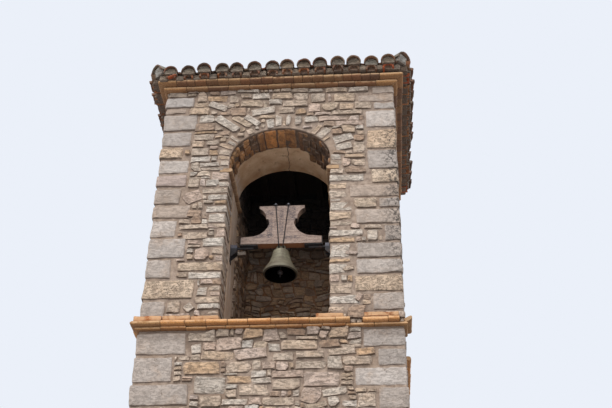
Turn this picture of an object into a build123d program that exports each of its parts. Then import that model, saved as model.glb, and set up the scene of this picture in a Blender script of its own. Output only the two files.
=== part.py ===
"""Rubble-stone bell tower with an arched belfry, a bell swinging in a timber yoke and a low hipped roof.

Millimetres, +Z up. The origin is on the ground at the middle of the footprint, and the open arch faces -Y.
"""

import os
from math import atan2, cos, degrees, hypot, radians, sin, tan

from build123d import *

# The masonry in plan
tower_width = 2800
tower_depth = 2400
front_wall_thickness = 850
back_wall_thickness = 550
opening_width = 1200
opening_shift = 30  # the arch stands this far right of the middle of its wall

# Levels of the masonry
string_z = 6775  # underside of the brick string course, top of the shaft
wall_top_z = 10170  # underside of the cornice
floor_thickness = 150
floor_bearing = 100  # how far the belfry floor runs into each wall

# Moulded brick courses: height and how far each nose stands out of the wall
brick_bed = 240  # how far each course runs into the wall
string_lower_height = 35
string_lower_out = 45
string_upper_height = 55
string_upper_out = 90
string_cap_height = 35
string_cap_right_height = 60  # right of the middle the tiles lie two deep
string_cap_out = 70
cornice_height = 60  # each of the two cornice courses
cornice_lower_out = 60
cornice_upper_out = 130
nose_flat = 3  # flat left between the rounded top and bottom of a nose

# Breaks in the upper string course, from the middle of the tower
string_break_from = 840
string_break_to = 970
corner_break_from = 1357
corner_break_back = 40  # the side course survives from this far in front of the wall
cap_left_to = -545
cap_middle_from = 477
cap_middle_to = 776
cap_right_from = 982
cap_right_to = 1354

# The arch: straight for a short way above the imposts, then three-centred
impost_z = 8885
impost_height = 55
impost_out = 50
impost_bed = 100
impost_front_out = 12
arch_stilt = 125
arch_rise = 480
haunch_radius = 400
ring_thickness = 260
plaster_thickness = 20
plaster_from = 380  # the plaster is lost from the front of the reveal
joint_clearance = 0.3

# Ceiling over the bell chamber
joist_z = 9810
joist_width = 90
joist_height = 90
joist_bearing = 80
joist_pitch = 370
ceiling_board_thickness = 30

# Roof
eaves_course_height = 55
eaves_course_out = 185
roof_out = 210
roof_edge_height = 85
roof_pitch = 17
roof_shell = 90  # thickness of tiles and bed over the void
capping_radius = 95
capping_drop = 25  # the cappings reach this far below the top of the eaves

# Bell yoke
axis_z = 8129
axis_from_front = 500
yoke_thickness = 100
beam_end_height = 95
beam_shoulder_height = 110
beam_shoulder_x = 325
waist_x = 147
waist_height = 297
curve_x = 205
curve_height = 178
block_top_x = 160
block_top_height = 352
head_foot_x = 187
head_throat_x = 222
head_throat_height = 470
head_top_x = 270
head_lip = 35
yoke_height = 542

# Gudgeons and their bearings
gudgeon_radius = 15
gudgeon_inside = 150
gudgeon_saddle_width = 22
gudgeon_plate = 14
gudgeon_plate_width = 80
gudgeon_plate_length = 200
end_plate = 10
running_clearance = 0.25
yoke_end_clearance = 33  # between each end of the yoke and its bearing
gudgeon_end_clearance = 27  # between each gudgeon and the wall
block_length = 70
block_width = 90
block_wall = 23
block_base = 60
bracket_height = 75
bracket_plate = 12
bracket_plate_drop = 60
bracket_web = 10

# Iron stirrups that hold the bell up to its yoke
rod_radius = 6
rod_top_x = 78
rod_bottom_x = 25
rod_bend = 16
rod_above_plate = 24
clamp_bar_width = 44  # one bar across the yoke for each stirrup
clamp_bar_length = 146
clamp_bar_thickness = 10
rod_hole_radius = 8
nut_across = 24
nut_height = 12

# Bell
bell_mouth_radius = 200
bell_height = 320
bell_head_radius = 80
bell_shoulder_radius = 93
bell_shoulder_drop = 12
bell_waist_radius = 120
bell_waist_height = 200
bell_bow_radius = 167
bell_bow_height = 92
bell_rim_height = 36  # above this the side flares less steeply
bell_lip = 10
bell_wall = 13
bell_crown = 16
canon_radius = 20
canon_bar = 9
canon_leg = 52

# Clapper and its hanger
hanger_radius = 32
hanger_plate = 8
cheek_thickness = 8
cheek_gap = 26
cheek_width = 30
pin_drop = 42  # clapper pin below the bell's inner crown
pin_radius = 7
eye_radius = 17
eye_clearance = 1
clapper_shaft_radius = 9
clapper_ball_radius = 32
clapper_ball_height = 32  # middle of the ball above the mouth
clapper_tail = 30

# Places worked out from the sizes above
front_y = -tower_depth / 2
back_y = tower_depth / 2
chamber_front_y = front_y + front_wall_thickness
chamber_back_y = back_y - back_wall_thickness
left_x = opening_shift - opening_width / 2
right_x = opening_shift + opening_width / 2
string_upper_z = string_z + string_lower_height
sill_z = string_upper_z + string_upper_height
spring_z = impost_z + impost_height
arch_centre_z = spring_z + arch_stilt
cornice_upper_z = wall_top_z + cornice_height
eaves_course_z = cornice_upper_z + cornice_height
roof_z = eaves_course_z + eaves_course_height
roof_edge_z = roof_z + roof_edge_height
roof_half_x = tower_width / 2 + roof_out
roof_half_y = tower_depth / 2 + roof_out
pitch_rise = tan(radians(roof_pitch))
ridge_z = roof_edge_z + min(roof_half_x, roof_half_y) * pitch_rise
far = tower_width + tower_depth  # well clear of the tower on any side
axis_y = front_y + axis_from_front
opening_half = opening_width / 2
block_far_x = opening_half - bracket_plate
block_near_x = block_far_x - block_length
yoke_length = 2 * (block_near_x - yoke_end_clearance - end_plate)
gudgeon_reach = block_far_x - gudgeon_end_clearance - yoke_length / 2
beam_z = axis_z + gudgeon_radius + gudgeon_plate
yoke_top_z = beam_z + yoke_height
yoke_front_y = axis_y - yoke_thickness / 2
canon_height = canon_leg + canon_radius + canon_bar
bell_top_z = beam_z - joint_clearance - canon_height
mouth_z = bell_top_z - bell_height
inner_crown_z = bell_top_z - bell_crown
clapper_pin_z = inner_crown_z - pin_drop
clapper_ball_z = mouth_z + clapper_ball_height

elevation = Plane.XZ  # drawings of the front: X to the right and Z up, with the normal towards -Y


def box_between(x0, x1, y0, y1, z0, z1, mode=Mode.ADD):
    """A block between two corners, put into the part being built."""
    middle = ((x0 + x1) / 2, (y0 + y1) / 2, (z0 + z1) / 2)
    with Locations(middle):
        Box(x1 - x0, y1 - y0, z1 - z0, mode=mode)


def keep(part, name):
    """Names a finished piece and writes it."""
    part.label = name
    export_step(part, f"parts/{name}.step")


def frame_of_course(base_z, height, out, nose):
    """One brick course right round the tower, with a rounded nose where nose is true."""
    with BuildPart() as course:
        with BuildSketch(Plane.XY.offset(base_z)):
            Rectangle(tower_width + 2 * out, tower_depth + 2 * out)
        extrude(amount=height)
        if nose:
            flat = course.faces().filter_by(Axis.Z)
            fillet(flat.edges(), radius=(height - nose_flat) / 2)
        with BuildSketch(Plane.XY.offset(base_z)):
            Rectangle(tower_width - 2 * brick_bed, tower_depth - 2 * brick_bed)
        extrude(amount=height, mode=Mode.SUBTRACT)
    return course.part


def front_zone(facing):
    """The quarter of the plan that belongs to the front (facing -1) or the back (facing 1), mitred at the corners."""
    half_x = tower_width / 2 + far
    half_y = tower_depth / 2 + far
    with BuildPart() as zone:
        with BuildSketch(Plane.XY):
            corner_y = facing * half_y
            apex_y = facing * (half_y - half_x)
            Polygon((-half_x, corner_y), (half_x, corner_y), (0, apex_y), align=None)
            with Locations((0, facing * far)):
                Rectangle(2 * far + tower_width, 2 * far, mode=Mode.INTERSECT)
        extrude(amount=ridge_z + far)
    return zone.part


def side_zone(facing):
    """The quarter of the plan that belongs to the left (facing -1) or the right side (facing 1)."""
    half_x = tower_width / 2 + far
    half_y = tower_depth / 2 + far
    with BuildPart() as zone:
        with BuildSketch(Plane.XY):
            corner_x = facing * half_x
            apex_x = facing * (half_x - half_y)
            Polygon((corner_x, -half_y), (corner_x, half_y), (apex_x, 0), align=None)
            with Locations((facing * far, 0)):
                Rectangle(2 * far, 2 * far + tower_depth, mode=Mode.INTERSECT)
        extrude(amount=ridge_z + far)
    return zone.part


def arch_area(growth, foot_z):
    """The opening under the arch as a face, grown outwards by growth and cut off at foot_z."""
    half = opening_width / 2 + growth
    haunch_x = opening_width / 2 - haunch_radius
    lift = arch_rise - haunch_radius
    drop = (haunch_x**2 - lift**2) / (2 * lift)
    crown_radius = arch_rise + drop + growth
    side_radius = haunch_radius + growth
    turn = atan2(drop, haunch_x)
    tangent_x = haunch_x + side_radius * cos(turn)
    tangent_z = arch_centre_z + side_radius * sin(turn)
    with BuildSketch(elevation) as area:
        with BuildLine(Location((opening_shift, 0))):
            Line((half, foot_z), (half, arch_centre_z))
            RadiusArc((half, arch_centre_z), (tangent_x, tangent_z), -side_radius)
            RadiusArc((tangent_x, tangent_z), (-tangent_x, tangent_z), -crown_radius)
            RadiusArc((-tangent_x, tangent_z), (-half, arch_centre_z), -side_radius)
            Line((-half, arch_centre_z), (-half, foot_z))
            Line((-half, foot_z), (half, foot_z))
        make_face()
    return area.sketch


def push_back(area, from_y, to_y, mode=Mode.ADD):
    """Extrudes a drawing of the front from one depth to another."""
    placed = area.moved(Location((0, from_y, 0)))
    extrude(placed, amount=-(to_y - from_y), mode=mode)


os.makedirs("parts", exist_ok=True)

# Everything outside the brick beds, over the height of the string course and over that of the cornice
with BuildPart() as string_seat:
    with BuildSketch(Plane.XY.offset(string_z)):
        Rectangle(tower_width + far, tower_depth + far)
        Rectangle(tower_width - 2 * brick_bed, tower_depth - 2 * brick_bed, mode=Mode.SUBTRACT)
    extrude(amount=sill_z - string_z)

with BuildPart() as cornice_seat:
    with BuildSketch(Plane.XY.offset(wall_top_z)):
        Rectangle(tower_width + far, tower_depth + far)
        Rectangle(tower_width - 2 * brick_bed, tower_depth - 2 * brick_bed, mode=Mode.SUBTRACT)
    extrude(amount=roof_z - wall_top_z)

with BuildPart() as belfry_floor:
    box_between(
        left_x - floor_bearing,
        right_x + floor_bearing,
        chamber_front_y - floor_bearing,
        chamber_back_y + floor_bearing,
        sill_z - floor_thickness,
        sill_z,
    )
keep(belfry_floor.part, "belfry_floor")

# Shaft: four plain walls from the ground up to the sill of the arch
half_width = tower_width / 2
shaft_walls = {
    "shaft_front_wall": (-half_width, half_width, front_y, chamber_front_y),
    "shaft_back_wall": (-half_width, half_width, chamber_back_y, back_y),
    "shaft_left_wall": (-half_width, left_x, chamber_front_y, chamber_back_y),
    "shaft_right_wall": (right_x, half_width, chamber_front_y, chamber_back_y),
}
for name, (x0, x1, y0, y1) in shaft_walls.items():
    with BuildPart() as shaft_wall:
        box_between(x0, x1, y0, y1, 0, sill_z)
        add(string_seat.part, mode=Mode.SUBTRACT)
        add(belfry_floor.part, mode=Mode.SUBTRACT)
    keep(shaft_wall.part, name)

# String course: two moulded courses and what is left of a flat one on top
string_lower = frame_of_course(string_z, string_lower_height, string_lower_out, True)
string_upper = frame_of_course(string_upper_z, string_upper_height, string_upper_out, True)
fronts = front_zone(-1) + front_zone(1)

with BuildPart() as string_lower_front_and_back:
    add(string_lower)
    add(fronts, mode=Mode.INTERSECT)
keep(string_lower_front_and_back.part, "string_lower_front_and_back")

with BuildPart() as string_lower_sides:
    add(string_lower)
    add(fronts, mode=Mode.SUBTRACT)
keep(string_lower_sides.part, "string_lower_sides")

with BuildPart() as string_breaks:
    top_z = string_upper_z + string_upper_height
    box_between(string_break_from, string_break_to, front_y - far, front_y, string_upper_z, top_z)
    box_between(corner_break_from, far, front_y - far, front_y - corner_break_back, string_upper_z, top_z)

with BuildPart() as string_upper_front:
    add(string_upper)
    add(front_zone(-1), mode=Mode.INTERSECT)
    add(string_breaks.part, mode=Mode.SUBTRACT)
keep(string_upper_front.part, "string_upper_front")

with BuildPart() as string_upper_back:
    add(string_upper)
    add(front_zone(1), mode=Mode.INTERSECT)
keep(string_upper_back.part, "string_upper_back")

with BuildPart() as string_upper_sides:
    add(string_upper)
    add(fronts, mode=Mode.SUBTRACT)
    add(string_breaks.part, mode=Mode.SUBTRACT)
keep(string_upper_sides.part, "string_upper_sides")

cap_runs = [
    (-half_width - string_cap_out, cap_left_to, string_cap_height),
    (cap_middle_from, cap_middle_to, string_cap_right_height),
    (cap_right_from, cap_right_to, string_cap_right_height),
]
with BuildPart() as string_cap_tiles:
    for x0, x1, height in cap_runs:
        box_between(x0, x1, front_y - string_cap_out, front_y, sill_z, sill_z + height)
keep(string_cap_tiles.part, "string_cap_tiles")

# Belfry walls: joists and imposts are let into them
with BuildPart() as ceiling_joists:
    joist_y = (chamber_front_y + chamber_back_y) / 2
    joist_length = chamber_back_y - chamber_front_y + 2 * joist_bearing
    with Locations((opening_shift, joist_y, joist_z + joist_height / 2)):
        with GridLocations(joist_pitch, 0, 3, 1):
            Box(joist_width, joist_length, joist_height)
keep(ceiling_joists.part, "ceiling_joists")

with BuildPart() as ceiling_boards:
    board_z = joist_z + joist_height
    box_between(left_x, right_x, chamber_front_y, chamber_back_y, board_z, board_z + ceiling_board_thickness)
keep(ceiling_boards.part, "ceiling_boards")

with BuildPart() as imposts:
    top_z = impost_z + impost_height
    for jamb_x, inwards in ((left_x, 1), (right_x, -1)):
        ends = sorted((jamb_x - inwards * impost_bed, jamb_x + inwards * impost_out))
        box_between(*ends, front_y - impost_front_out, chamber_front_y, impost_z, top_z)
keep(imposts.part, "imposts")

for name, (x0, x1) in {
    "belfry_front_left_pier": (-half_width, left_x),
    "belfry_front_right_pier": (right_x, half_width),
}.items():
    with BuildPart() as pier:
        box_between(x0, x1, front_y, chamber_front_y, sill_z, spring_z)
        add(imposts.part, mode=Mode.SUBTRACT)
    keep(pier.part, name)

with BuildPart() as belfry_arch_wall:
    box_between(-half_width, half_width, front_y, chamber_front_y, spring_z, roof_z)
    push_back(arch_area(ring_thickness, spring_z), front_y, chamber_front_y, Mode.SUBTRACT)
    add(cornice_seat.part, mode=Mode.SUBTRACT)
    add(ceiling_joists.part, mode=Mode.SUBTRACT)
keep(belfry_arch_wall.part, "belfry_arch_wall")

with BuildPart() as arch_ring:
    push_back(arch_area(ring_thickness, spring_z), front_y, chamber_front_y)
    push_back(arch_area(0, spring_z), front_y, chamber_front_y, Mode.SUBTRACT)
keep(arch_ring.part, "arch_ring")

belfry_walls = {
    "belfry_left_wall": (-half_width, left_x, chamber_front_y, chamber_back_y),
    "belfry_right_wall": (right_x, half_width, chamber_front_y, chamber_back_y),
    "belfry_back_wall": (-half_width, half_width, chamber_back_y, back_y),
}
for name, (x0, x1, y0, y1) in belfry_walls.items():
    with BuildPart() as belfry_wall:
        box_between(x0, x1, y0, y1, sill_z, roof_z)
        add(cornice_seat.part, mode=Mode.SUBTRACT)
        add(ceiling_joists.part, mode=Mode.SUBTRACT)
    keep(belfry_wall.part, name)

# Bearings on the jambs, each a housing on an iron bracket
bore_radius = gudgeon_radius + running_clearance
block_top_z = axis_z + bore_radius + block_wall
block_foot_z = axis_z - block_base
bracket_foot_z = block_foot_z - bracket_height
plate_foot_z = bracket_foot_z - bracket_plate_drop

with BuildPart() as bearing_housings:
    for facing in (-1, 1):
        with BuildSketch(Plane.YZ.offset(opening_shift + facing * block_near_x)):
            with Locations((axis_y, (block_top_z + block_foot_z) / 2)):
                RectangleRounded(block_width, block_top_z - block_foot_z, block_wall)
            with Locations((axis_y, (axis_z + block_foot_z) / 2)):
                Rectangle(block_width, axis_z - block_foot_z)
            with Locations((axis_y, axis_z)):
                Circle(bore_radius, mode=Mode.SUBTRACT)
        extrude(amount=facing * block_length)
keep(bearing_housings.part, "bearing_housings")

with BuildPart() as bearing_brackets:
    half_y = block_width / 2
    seat_foot_z = block_foot_z - bracket_plate
    for facing in (-1, 1):
        wall_x = opening_shift + facing * opening_half
        plate_x = opening_shift + facing * block_far_x
        near_x = opening_shift + facing * block_near_x
        box_between(*sorted((wall_x, plate_x)), axis_y - half_y, axis_y + half_y, plate_foot_z, block_top_z)
        box_between(*sorted((plate_x, near_x)), axis_y - half_y, axis_y + half_y, seat_foot_z, block_foot_z)
        for web_y in (axis_y - half_y + bracket_web / 2, axis_y + half_y - bracket_web / 2):
            with BuildSketch(elevation.offset(-web_y)):
                Polygon((plate_x, seat_foot_z), (near_x, seat_foot_z), (plate_x, bracket_foot_z), align=None)
            extrude(amount=bracket_web / 2, both=True)
keep(bearing_brackets.part, "bearing_brackets")

# Plaster on the inner part of the arch and of both jambs
plaster_y = front_y + plaster_from
with BuildPart() as arch_plaster:
    push_back(arch_area(0, spring_z), plaster_y, chamber_front_y)
    push_back(arch_area(-plaster_thickness, spring_z), plaster_y, chamber_front_y, Mode.SUBTRACT)
keep(arch_plaster.part, "arch_plaster")

with BuildPart() as jamb_plaster:
    for jamb_x, inwards in ((left_x, 1), (right_x, -1)):
        ends = sorted((jamb_x, jamb_x + inwards * plaster_thickness))
        box_between(*ends, plaster_y, chamber_front_y, sill_z, impost_z)
    bearing_y = (axis_y - block_width / 2, axis_y + block_width / 2)
    box_between(left_x, right_x, *bearing_y, plate_foot_z, block_top_z, Mode.SUBTRACT)
keep(jamb_plaster.part, "jamb_plaster")

# Cornice: two moulded courses, and over them a course of eaves tiles bedded in mortar
roof_courses = {
    "cornice_lower": frame_of_course(wall_top_z, cornice_height, cornice_lower_out, True),
    "cornice_upper": frame_of_course(cornice_upper_z, cornice_height, cornice_upper_out, True),
    "eaves_tile_course": frame_of_course(eaves_course_z, eaves_course_height, eaves_course_out, False),
}
for name, course in roof_courses.items():
    with BuildPart() as course_fronts:
        add(course)
        add(fronts, mode=Mode.INTERSECT)
    keep(course_fronts.part, f"{name}_front_and_back")
    with BuildPart() as course_sides:
        add(course)
        add(fronts, mode=Mode.SUBTRACT)
    keep(course_sides.part, f"{name}_sides")


def hipped(lowered):
    """The roof as one mass: two gabled prisms that cross, lowered for the void inside it."""
    low_z = roof_z - lowered
    edge_z = roof_edge_z - lowered
    with BuildPart() as mass:
        with BuildSketch(Plane.YZ.offset(-roof_half_x)):
            Polygon(
                (-roof_half_y, low_z),
                (roof_half_y, low_z),
                (roof_half_y, edge_z),
                (0, edge_z + roof_half_y * pitch_rise),
                (-roof_half_y, edge_z),
                align=None,
            )
        extrude(amount=2 * roof_half_x)
        with BuildSketch(elevation.offset(-roof_half_y)):
            Polygon(
                (-roof_half_x, low_z),
                (roof_half_x, low_z),
                (roof_half_x, edge_z),
                (0, edge_z + roof_half_x * pitch_rise),
                (-roof_half_x, edge_z),
                align=None,
            )
        extrude(amount=2 * roof_half_y, mode=Mode.INTERSECT)
    return mass.part


with BuildPart() as roof_void:
    box_between(left_x, right_x, chamber_front_y, chamber_back_y, roof_z, ridge_z)
    add(hipped(roof_shell), mode=Mode.INTERSECT)

roof_mass = hipped(0)
roof_zones = {
    "roof_front_slope": front_zone(-1),
    "roof_back_slope": front_zone(1),
    "roof_left_slope": side_zone(-1),
    "roof_right_slope": side_zone(1),
}
for name, zone in roof_zones.items():
    with BuildPart() as slope:
        add(roof_mass)
        add(roof_void.part, mode=Mode.SUBTRACT)
        add(zone, mode=Mode.INTERSECT)
    keep(slope.part, name)

with BuildPart() as roof_cappings:
    ridge_x = max(roof_half_x - roof_half_y, 0)
    ridge_y = max(roof_half_y - roof_half_x, 0)
    for side_x, side_y in ((-1, -1), (1, -1), (-1, 1), (1, 1)):
        foot = Vector(side_x * roof_half_x, side_y * roof_half_y, roof_edge_z)
        top = Vector(side_x * ridge_x, side_y * ridge_y, ridge_z)
        along = top - foot
        with BuildSketch(Plane(origin=foot, z_dir=along)):
            Circle(capping_radius)
        extrude(amount=along.length)
    with Locations((0, 0, ridge_z)):
        Sphere(capping_radius)
    with BuildSketch(Plane.YZ.offset(-ridge_x)):
        with Locations((0, ridge_z)):
            Circle(capping_radius)
    extrude(amount=2 * ridge_x)
    add(roof_mass, mode=Mode.SUBTRACT)
    box_between(-far, far, -far, far, 0, roof_edge_z - capping_drop, Mode.SUBTRACT)
keep(roof_cappings.part, "roof_cappings")

# Yoke: a timber beam with a waisted block, and a flared head on top of it
with BuildPart() as yoke_beam:
    with BuildSketch(elevation.offset(-yoke_front_y)):
        with BuildLine(Location((opening_shift, beam_z))):
            Line((0, 0), (yoke_length / 2, 0))
            Line((yoke_length / 2, 0), (yoke_length / 2, beam_end_height))
            Line((yoke_length / 2, beam_end_height), (beam_shoulder_x, beam_shoulder_height))
            ThreePointArc((beam_shoulder_x, beam_shoulder_height), (curve_x, curve_height), (waist_x, waist_height))
            Line((waist_x, waist_height), (block_top_x, block_top_height))
            Line((block_top_x, block_top_height), (0, block_top_height))
            Line((0, block_top_height), (0, 0))
        make_face()
        mirror(about=Plane.YZ.offset(opening_shift))
    extrude(amount=-yoke_thickness)
keep(yoke_beam.part, "yoke_beam")

with BuildPart() as yoke_head:
    with BuildSketch(elevation.offset(-yoke_front_y)):
        with BuildLine(Location((opening_shift, beam_z))):
            Line((0, block_top_height), (head_foot_x, block_top_height))
            ThreePointArc(
                (head_foot_x, block_top_height),
                (head_throat_x, head_throat_height),
                (head_top_x, yoke_height - head_lip),
            )
            Line((head_top_x, yoke_height - head_lip), (head_top_x, yoke_height))
            Line((head_top_x, yoke_height), (0, yoke_height))
            Line((0, yoke_height), (0, block_top_height))
        make_face()
        mirror(about=Plane.YZ.offset(opening_shift))
    extrude(amount=-yoke_thickness)
keep(yoke_head.part, "yoke_head")

# Gudgeons: iron pins under the beam ends, each on a plate with an upturned end
with BuildPart() as gudgeons:
    end_x = opening_shift + yoke_length / 2
    half_y = gudgeon_plate_width / 2
    with BuildSketch(Plane.YZ.offset(end_x - gudgeon_inside)):
        with Locations((axis_y, axis_z)):
            Circle(gudgeon_radius)
        with Locations((axis_y, (axis_z + beam_z) / 2)):
            Rectangle(gudgeon_saddle_width, beam_z - axis_z)
    extrude(amount=gudgeon_inside + end_plate)
    with BuildSketch(Plane.YZ.offset(end_x)):
        with Locations((axis_y, axis_z)):
            Circle(gudgeon_radius)
    extrude(amount=gudgeon_reach)
    plate_from = end_x - gudgeon_plate_length
    plate_to = end_x + end_plate
    box_between(plate_from, plate_to, axis_y - half_y, axis_y + half_y, beam_z - gudgeon_plate, beam_z)
    box_between(end_x, plate_to, axis_y - half_y, axis_y + half_y, beam_z, beam_z + beam_end_height)
    mirror(about=Plane.YZ.offset(opening_shift))
keep(gudgeons.part, "gudgeons")

# Stirrups: two rods bent into a U under the crown of the bell and nutted over a bar across the yoke
rod_out = yoke_thickness / 2 + rod_radius + joint_clearance
rod_seat_z = bell_top_z + canon_leg + canon_radius - canon_bar - joint_clearance - rod_radius
rod_end_z = yoke_top_z + clamp_bar_thickness + rod_above_plate
plate_top_z = yoke_top_z + clamp_bar_thickness
rod_slope = (rod_top_x - rod_bottom_x) / (rod_end_z - rod_seat_z)
nut_x = rod_top_x - rod_slope * (rod_end_z - plate_top_z)

with BuildPart() as stirrups:
    for facing in (-1, 1):
        bottom_x = opening_shift + facing * rod_bottom_x
        top_x = opening_shift + facing * rod_top_x
        with BuildLine() as route:
            FilletPolyline(
                (top_x, axis_y - rod_out, rod_end_z),
                (bottom_x, axis_y - rod_out, rod_seat_z),
                (bottom_x, axis_y + rod_out, rod_seat_z),
                (top_x, axis_y + rod_out, rod_end_z),
                radius=rod_bend,
            )
        with BuildSketch(Plane(origin=route.line @ 0, z_dir=route.line % 0)):
            RegularPolygon(rod_radius, 8)
        sweep(path=route.line)
keep(stirrups.part, "stirrups")

with BuildPart() as yoke_plate:
    with Locations((opening_shift, axis_y, yoke_top_z + clamp_bar_thickness / 2)):
        with GridLocations(2 * nut_x, 0, 2, 1):
            Box(clamp_bar_width, clamp_bar_length, clamp_bar_thickness)
        with GridLocations(2 * nut_x, 2 * rod_out, 2, 2):
            Cylinder(rod_hole_radius, clamp_bar_thickness, mode=Mode.SUBTRACT)
keep(yoke_plate.part, "yoke_plate")

with BuildPart() as stirrup_nuts:
    with BuildSketch(Plane.XY.offset(plate_top_z)):
        with Locations((opening_shift, axis_y)):
            with GridLocations(2 * nut_x, 2 * rod_out, 2, 2):
                RegularPolygon(nut_across / 2, 6, major_radius=False)
    extrude(amount=nut_height)
    add(stirrups.part, mode=Mode.SUBTRACT)
keep(stirrup_nuts.part, "stirrup_nuts")

# Bell: turned about its axis, with two loops on the crown, cast in one
with BuildPart() as bell:
    with BuildSketch(Plane(origin=(opening_shift, axis_y, mouth_z), x_dir=(1, 0, 0), z_dir=(0, -1, 0))):
        with BuildLine():
            Line((0, bell_height), (bell_head_radius, bell_height))
            shoulder = (bell_shoulder_radius, bell_height - bell_shoulder_drop)
            Line((bell_head_radius, bell_height), shoulder)
            waist = (bell_waist_radius, bell_waist_height)
            side = Line(shoulder, waist)
            bow = (bell_bow_radius, bell_bow_height)
            flare = TangentArc(waist, bow, tangent=side % 1, mode=Mode.PRIVATE)
            Polyline(waist, flare @ 0.35, flare @ 0.7, bow)
            Polyline(bow, (bell_mouth_radius, bell_rim_height), (bell_mouth_radius, bell_lip))
            Line((bell_mouth_radius, bell_lip), (bell_mouth_radius - bell_lip, 0))
            inner_mouth = (bell_mouth_radius - 2 * bell_lip, 0)
            Line((bell_mouth_radius - bell_lip, 0), inner_mouth)
            inner_waist = (bell_waist_radius - bell_wall, bell_waist_height)
            Line(inner_mouth, inner_waist)
            inner_side = Line((bell_shoulder_radius - bell_wall, bell_height - bell_shoulder_drop), inner_waist)
            Line(inner_side @ 0, (bell_head_radius - bell_wall, bell_height - bell_crown))
            Line((bell_head_radius - bell_wall, bell_height - bell_crown), (0, bell_height - bell_crown))
            Line((0, bell_height - bell_crown), (0, bell_height))
        make_face()
    revolve(axis=Axis((opening_shift, axis_y, mouth_z), (0, 0, 1)))
    for facing in (-1, 1):
        with BuildSketch(elevation.offset(-axis_y)):
            with BuildLine(Location((opening_shift + facing * rod_bottom_x, bell_top_z + canon_leg))):
                loop = CenterArc((0, 0), canon_radius, 0, 180)
                Line(loop @ 0, (canon_radius, -canon_leg - bell_crown / 2))
                Line(loop @ 1, (-canon_radius, -canon_leg - bell_crown / 2))
            trace(line_width=2 * canon_bar)
        extrude(amount=canon_bar, both=True)
keep(bell.part, "bell")

with BuildPart() as clapper_hanger:
    with BuildSketch(Plane.XY.offset(inner_crown_z - hanger_plate)):
        with Locations((opening_shift, axis_y)):
            RegularPolygon(hanger_radius, 12)
    extrude(amount=hanger_plate)
    cheek_foot_z = clapper_pin_z
    for facing in (-1, 1):
        cheek_x = opening_shift + facing * (cheek_gap + cheek_thickness) / 2
        with BuildSketch(Plane.YZ.offset(cheek_x)):
            with Locations((axis_y, (cheek_foot_z + inner_crown_z) / 2)):
                Rectangle(cheek_width, inner_crown_z - cheek_foot_z)
            with Locations((axis_y, clapper_pin_z)):
                Circle(cheek_width / 2)
        extrude(amount=cheek_thickness / 2, both=True)
    with BuildSketch(Plane.YZ.offset(opening_shift)):
        with Locations((axis_y, clapper_pin_z)):
            Circle(pin_radius)
    extrude(amount=cheek_gap / 2 + cheek_thickness, both=True)
keep(clapper_hanger.part, "clapper_hanger")

# Clapper: an eye on the pin, a shaft, a forged ball with twelve sides and a short tail
with BuildPart() as clapper:
    with BuildSketch(Plane.YZ.offset(opening_shift)):
        with Locations((axis_y, clapper_pin_z)):
            Circle(eye_radius)
    extrude(amount=cheek_gap / 2 - eye_clearance, both=True)
    with BuildSketch(Plane.XY.offset(clapper_ball_z)):
        with Locations((opening_shift, axis_y)):
            RegularPolygon(clapper_shaft_radius, 8)
    extrude(amount=clapper_pin_z - clapper_ball_z)
    belt = clapper_ball_radius * sin(radians(22.5))
    with BuildSketch(Plane.XY.offset(clapper_ball_z)):
        with Locations((opening_shift, axis_y)):
            RegularPolygon(clapper_ball_radius, 12)
    extrude(amount=belt, both=True)
    for end_z in (belt, -belt):
        with BuildSketch(Plane.XY.offset(clapper_ball_z + end_z)):
            with Locations((opening_shift, axis_y)):
                RegularPolygon(clapper_ball_radius, 12)
        with BuildSketch(Plane.XY.offset(clapper_ball_z + end_z / belt * clapper_ball_radius)):
            with Locations((opening_shift, axis_y)):
                RegularPolygon(belt, 12)
        loft(ruled=True)
    tail_length = clapper_ball_radius + clapper_tail
    with BuildSketch(Plane.XY.offset(clapper_ball_z)):
        with Locations((opening_shift, axis_y)):
            RegularPolygon(clapper_shaft_radius, 8)
    extrude(amount=-tail_length)
    with BuildSketch(Plane.YZ.offset(opening_shift)):
        with Locations((axis_y, clapper_pin_z)):
            Circle(pin_radius + running_clearance)
    extrude(amount=cheek_gap, both=True, mode=Mode.SUBTRACT)
keep(clapper.part, "clapper")
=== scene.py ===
"""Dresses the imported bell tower: walls laid stone by stone, moulded bricks, barrel tiles, yoke and bell."""

from math import atan2, ceil, cos, pi, radians, sin, tan

import bpy
import numpy as np
from mathutils import Matrix, Vector, noise


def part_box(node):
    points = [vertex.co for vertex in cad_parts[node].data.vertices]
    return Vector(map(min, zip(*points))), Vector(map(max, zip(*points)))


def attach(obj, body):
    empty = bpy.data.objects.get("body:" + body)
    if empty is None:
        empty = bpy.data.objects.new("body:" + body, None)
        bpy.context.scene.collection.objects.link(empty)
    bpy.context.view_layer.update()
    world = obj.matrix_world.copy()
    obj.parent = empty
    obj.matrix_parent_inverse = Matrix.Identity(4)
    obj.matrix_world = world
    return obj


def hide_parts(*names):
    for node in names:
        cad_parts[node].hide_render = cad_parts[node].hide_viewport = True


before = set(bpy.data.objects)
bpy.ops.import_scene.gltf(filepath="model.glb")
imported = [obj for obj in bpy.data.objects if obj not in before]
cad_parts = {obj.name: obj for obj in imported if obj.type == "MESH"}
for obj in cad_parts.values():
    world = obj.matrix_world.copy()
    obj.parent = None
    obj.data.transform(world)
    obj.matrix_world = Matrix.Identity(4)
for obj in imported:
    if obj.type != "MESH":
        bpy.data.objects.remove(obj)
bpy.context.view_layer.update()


# Camera: stands to the right of the tower, at eye height, and looks up at the belfry
# from the place and at the angles that put the tower's edges where the photograph has them.
def put(name, data):
    """Adds an object to the scene."""
    made = bpy.data.objects.new(name, data)
    bpy.context.scene.collection.objects.link(made)
    return made


eye = Vector((1.094, -10.486, 1.6))
look_up = radians(36.08)
look_left = radians(4.57)
roll = radians(1.04)
focal_pixels = 1008.1
photo_width_pixels = 612

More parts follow.
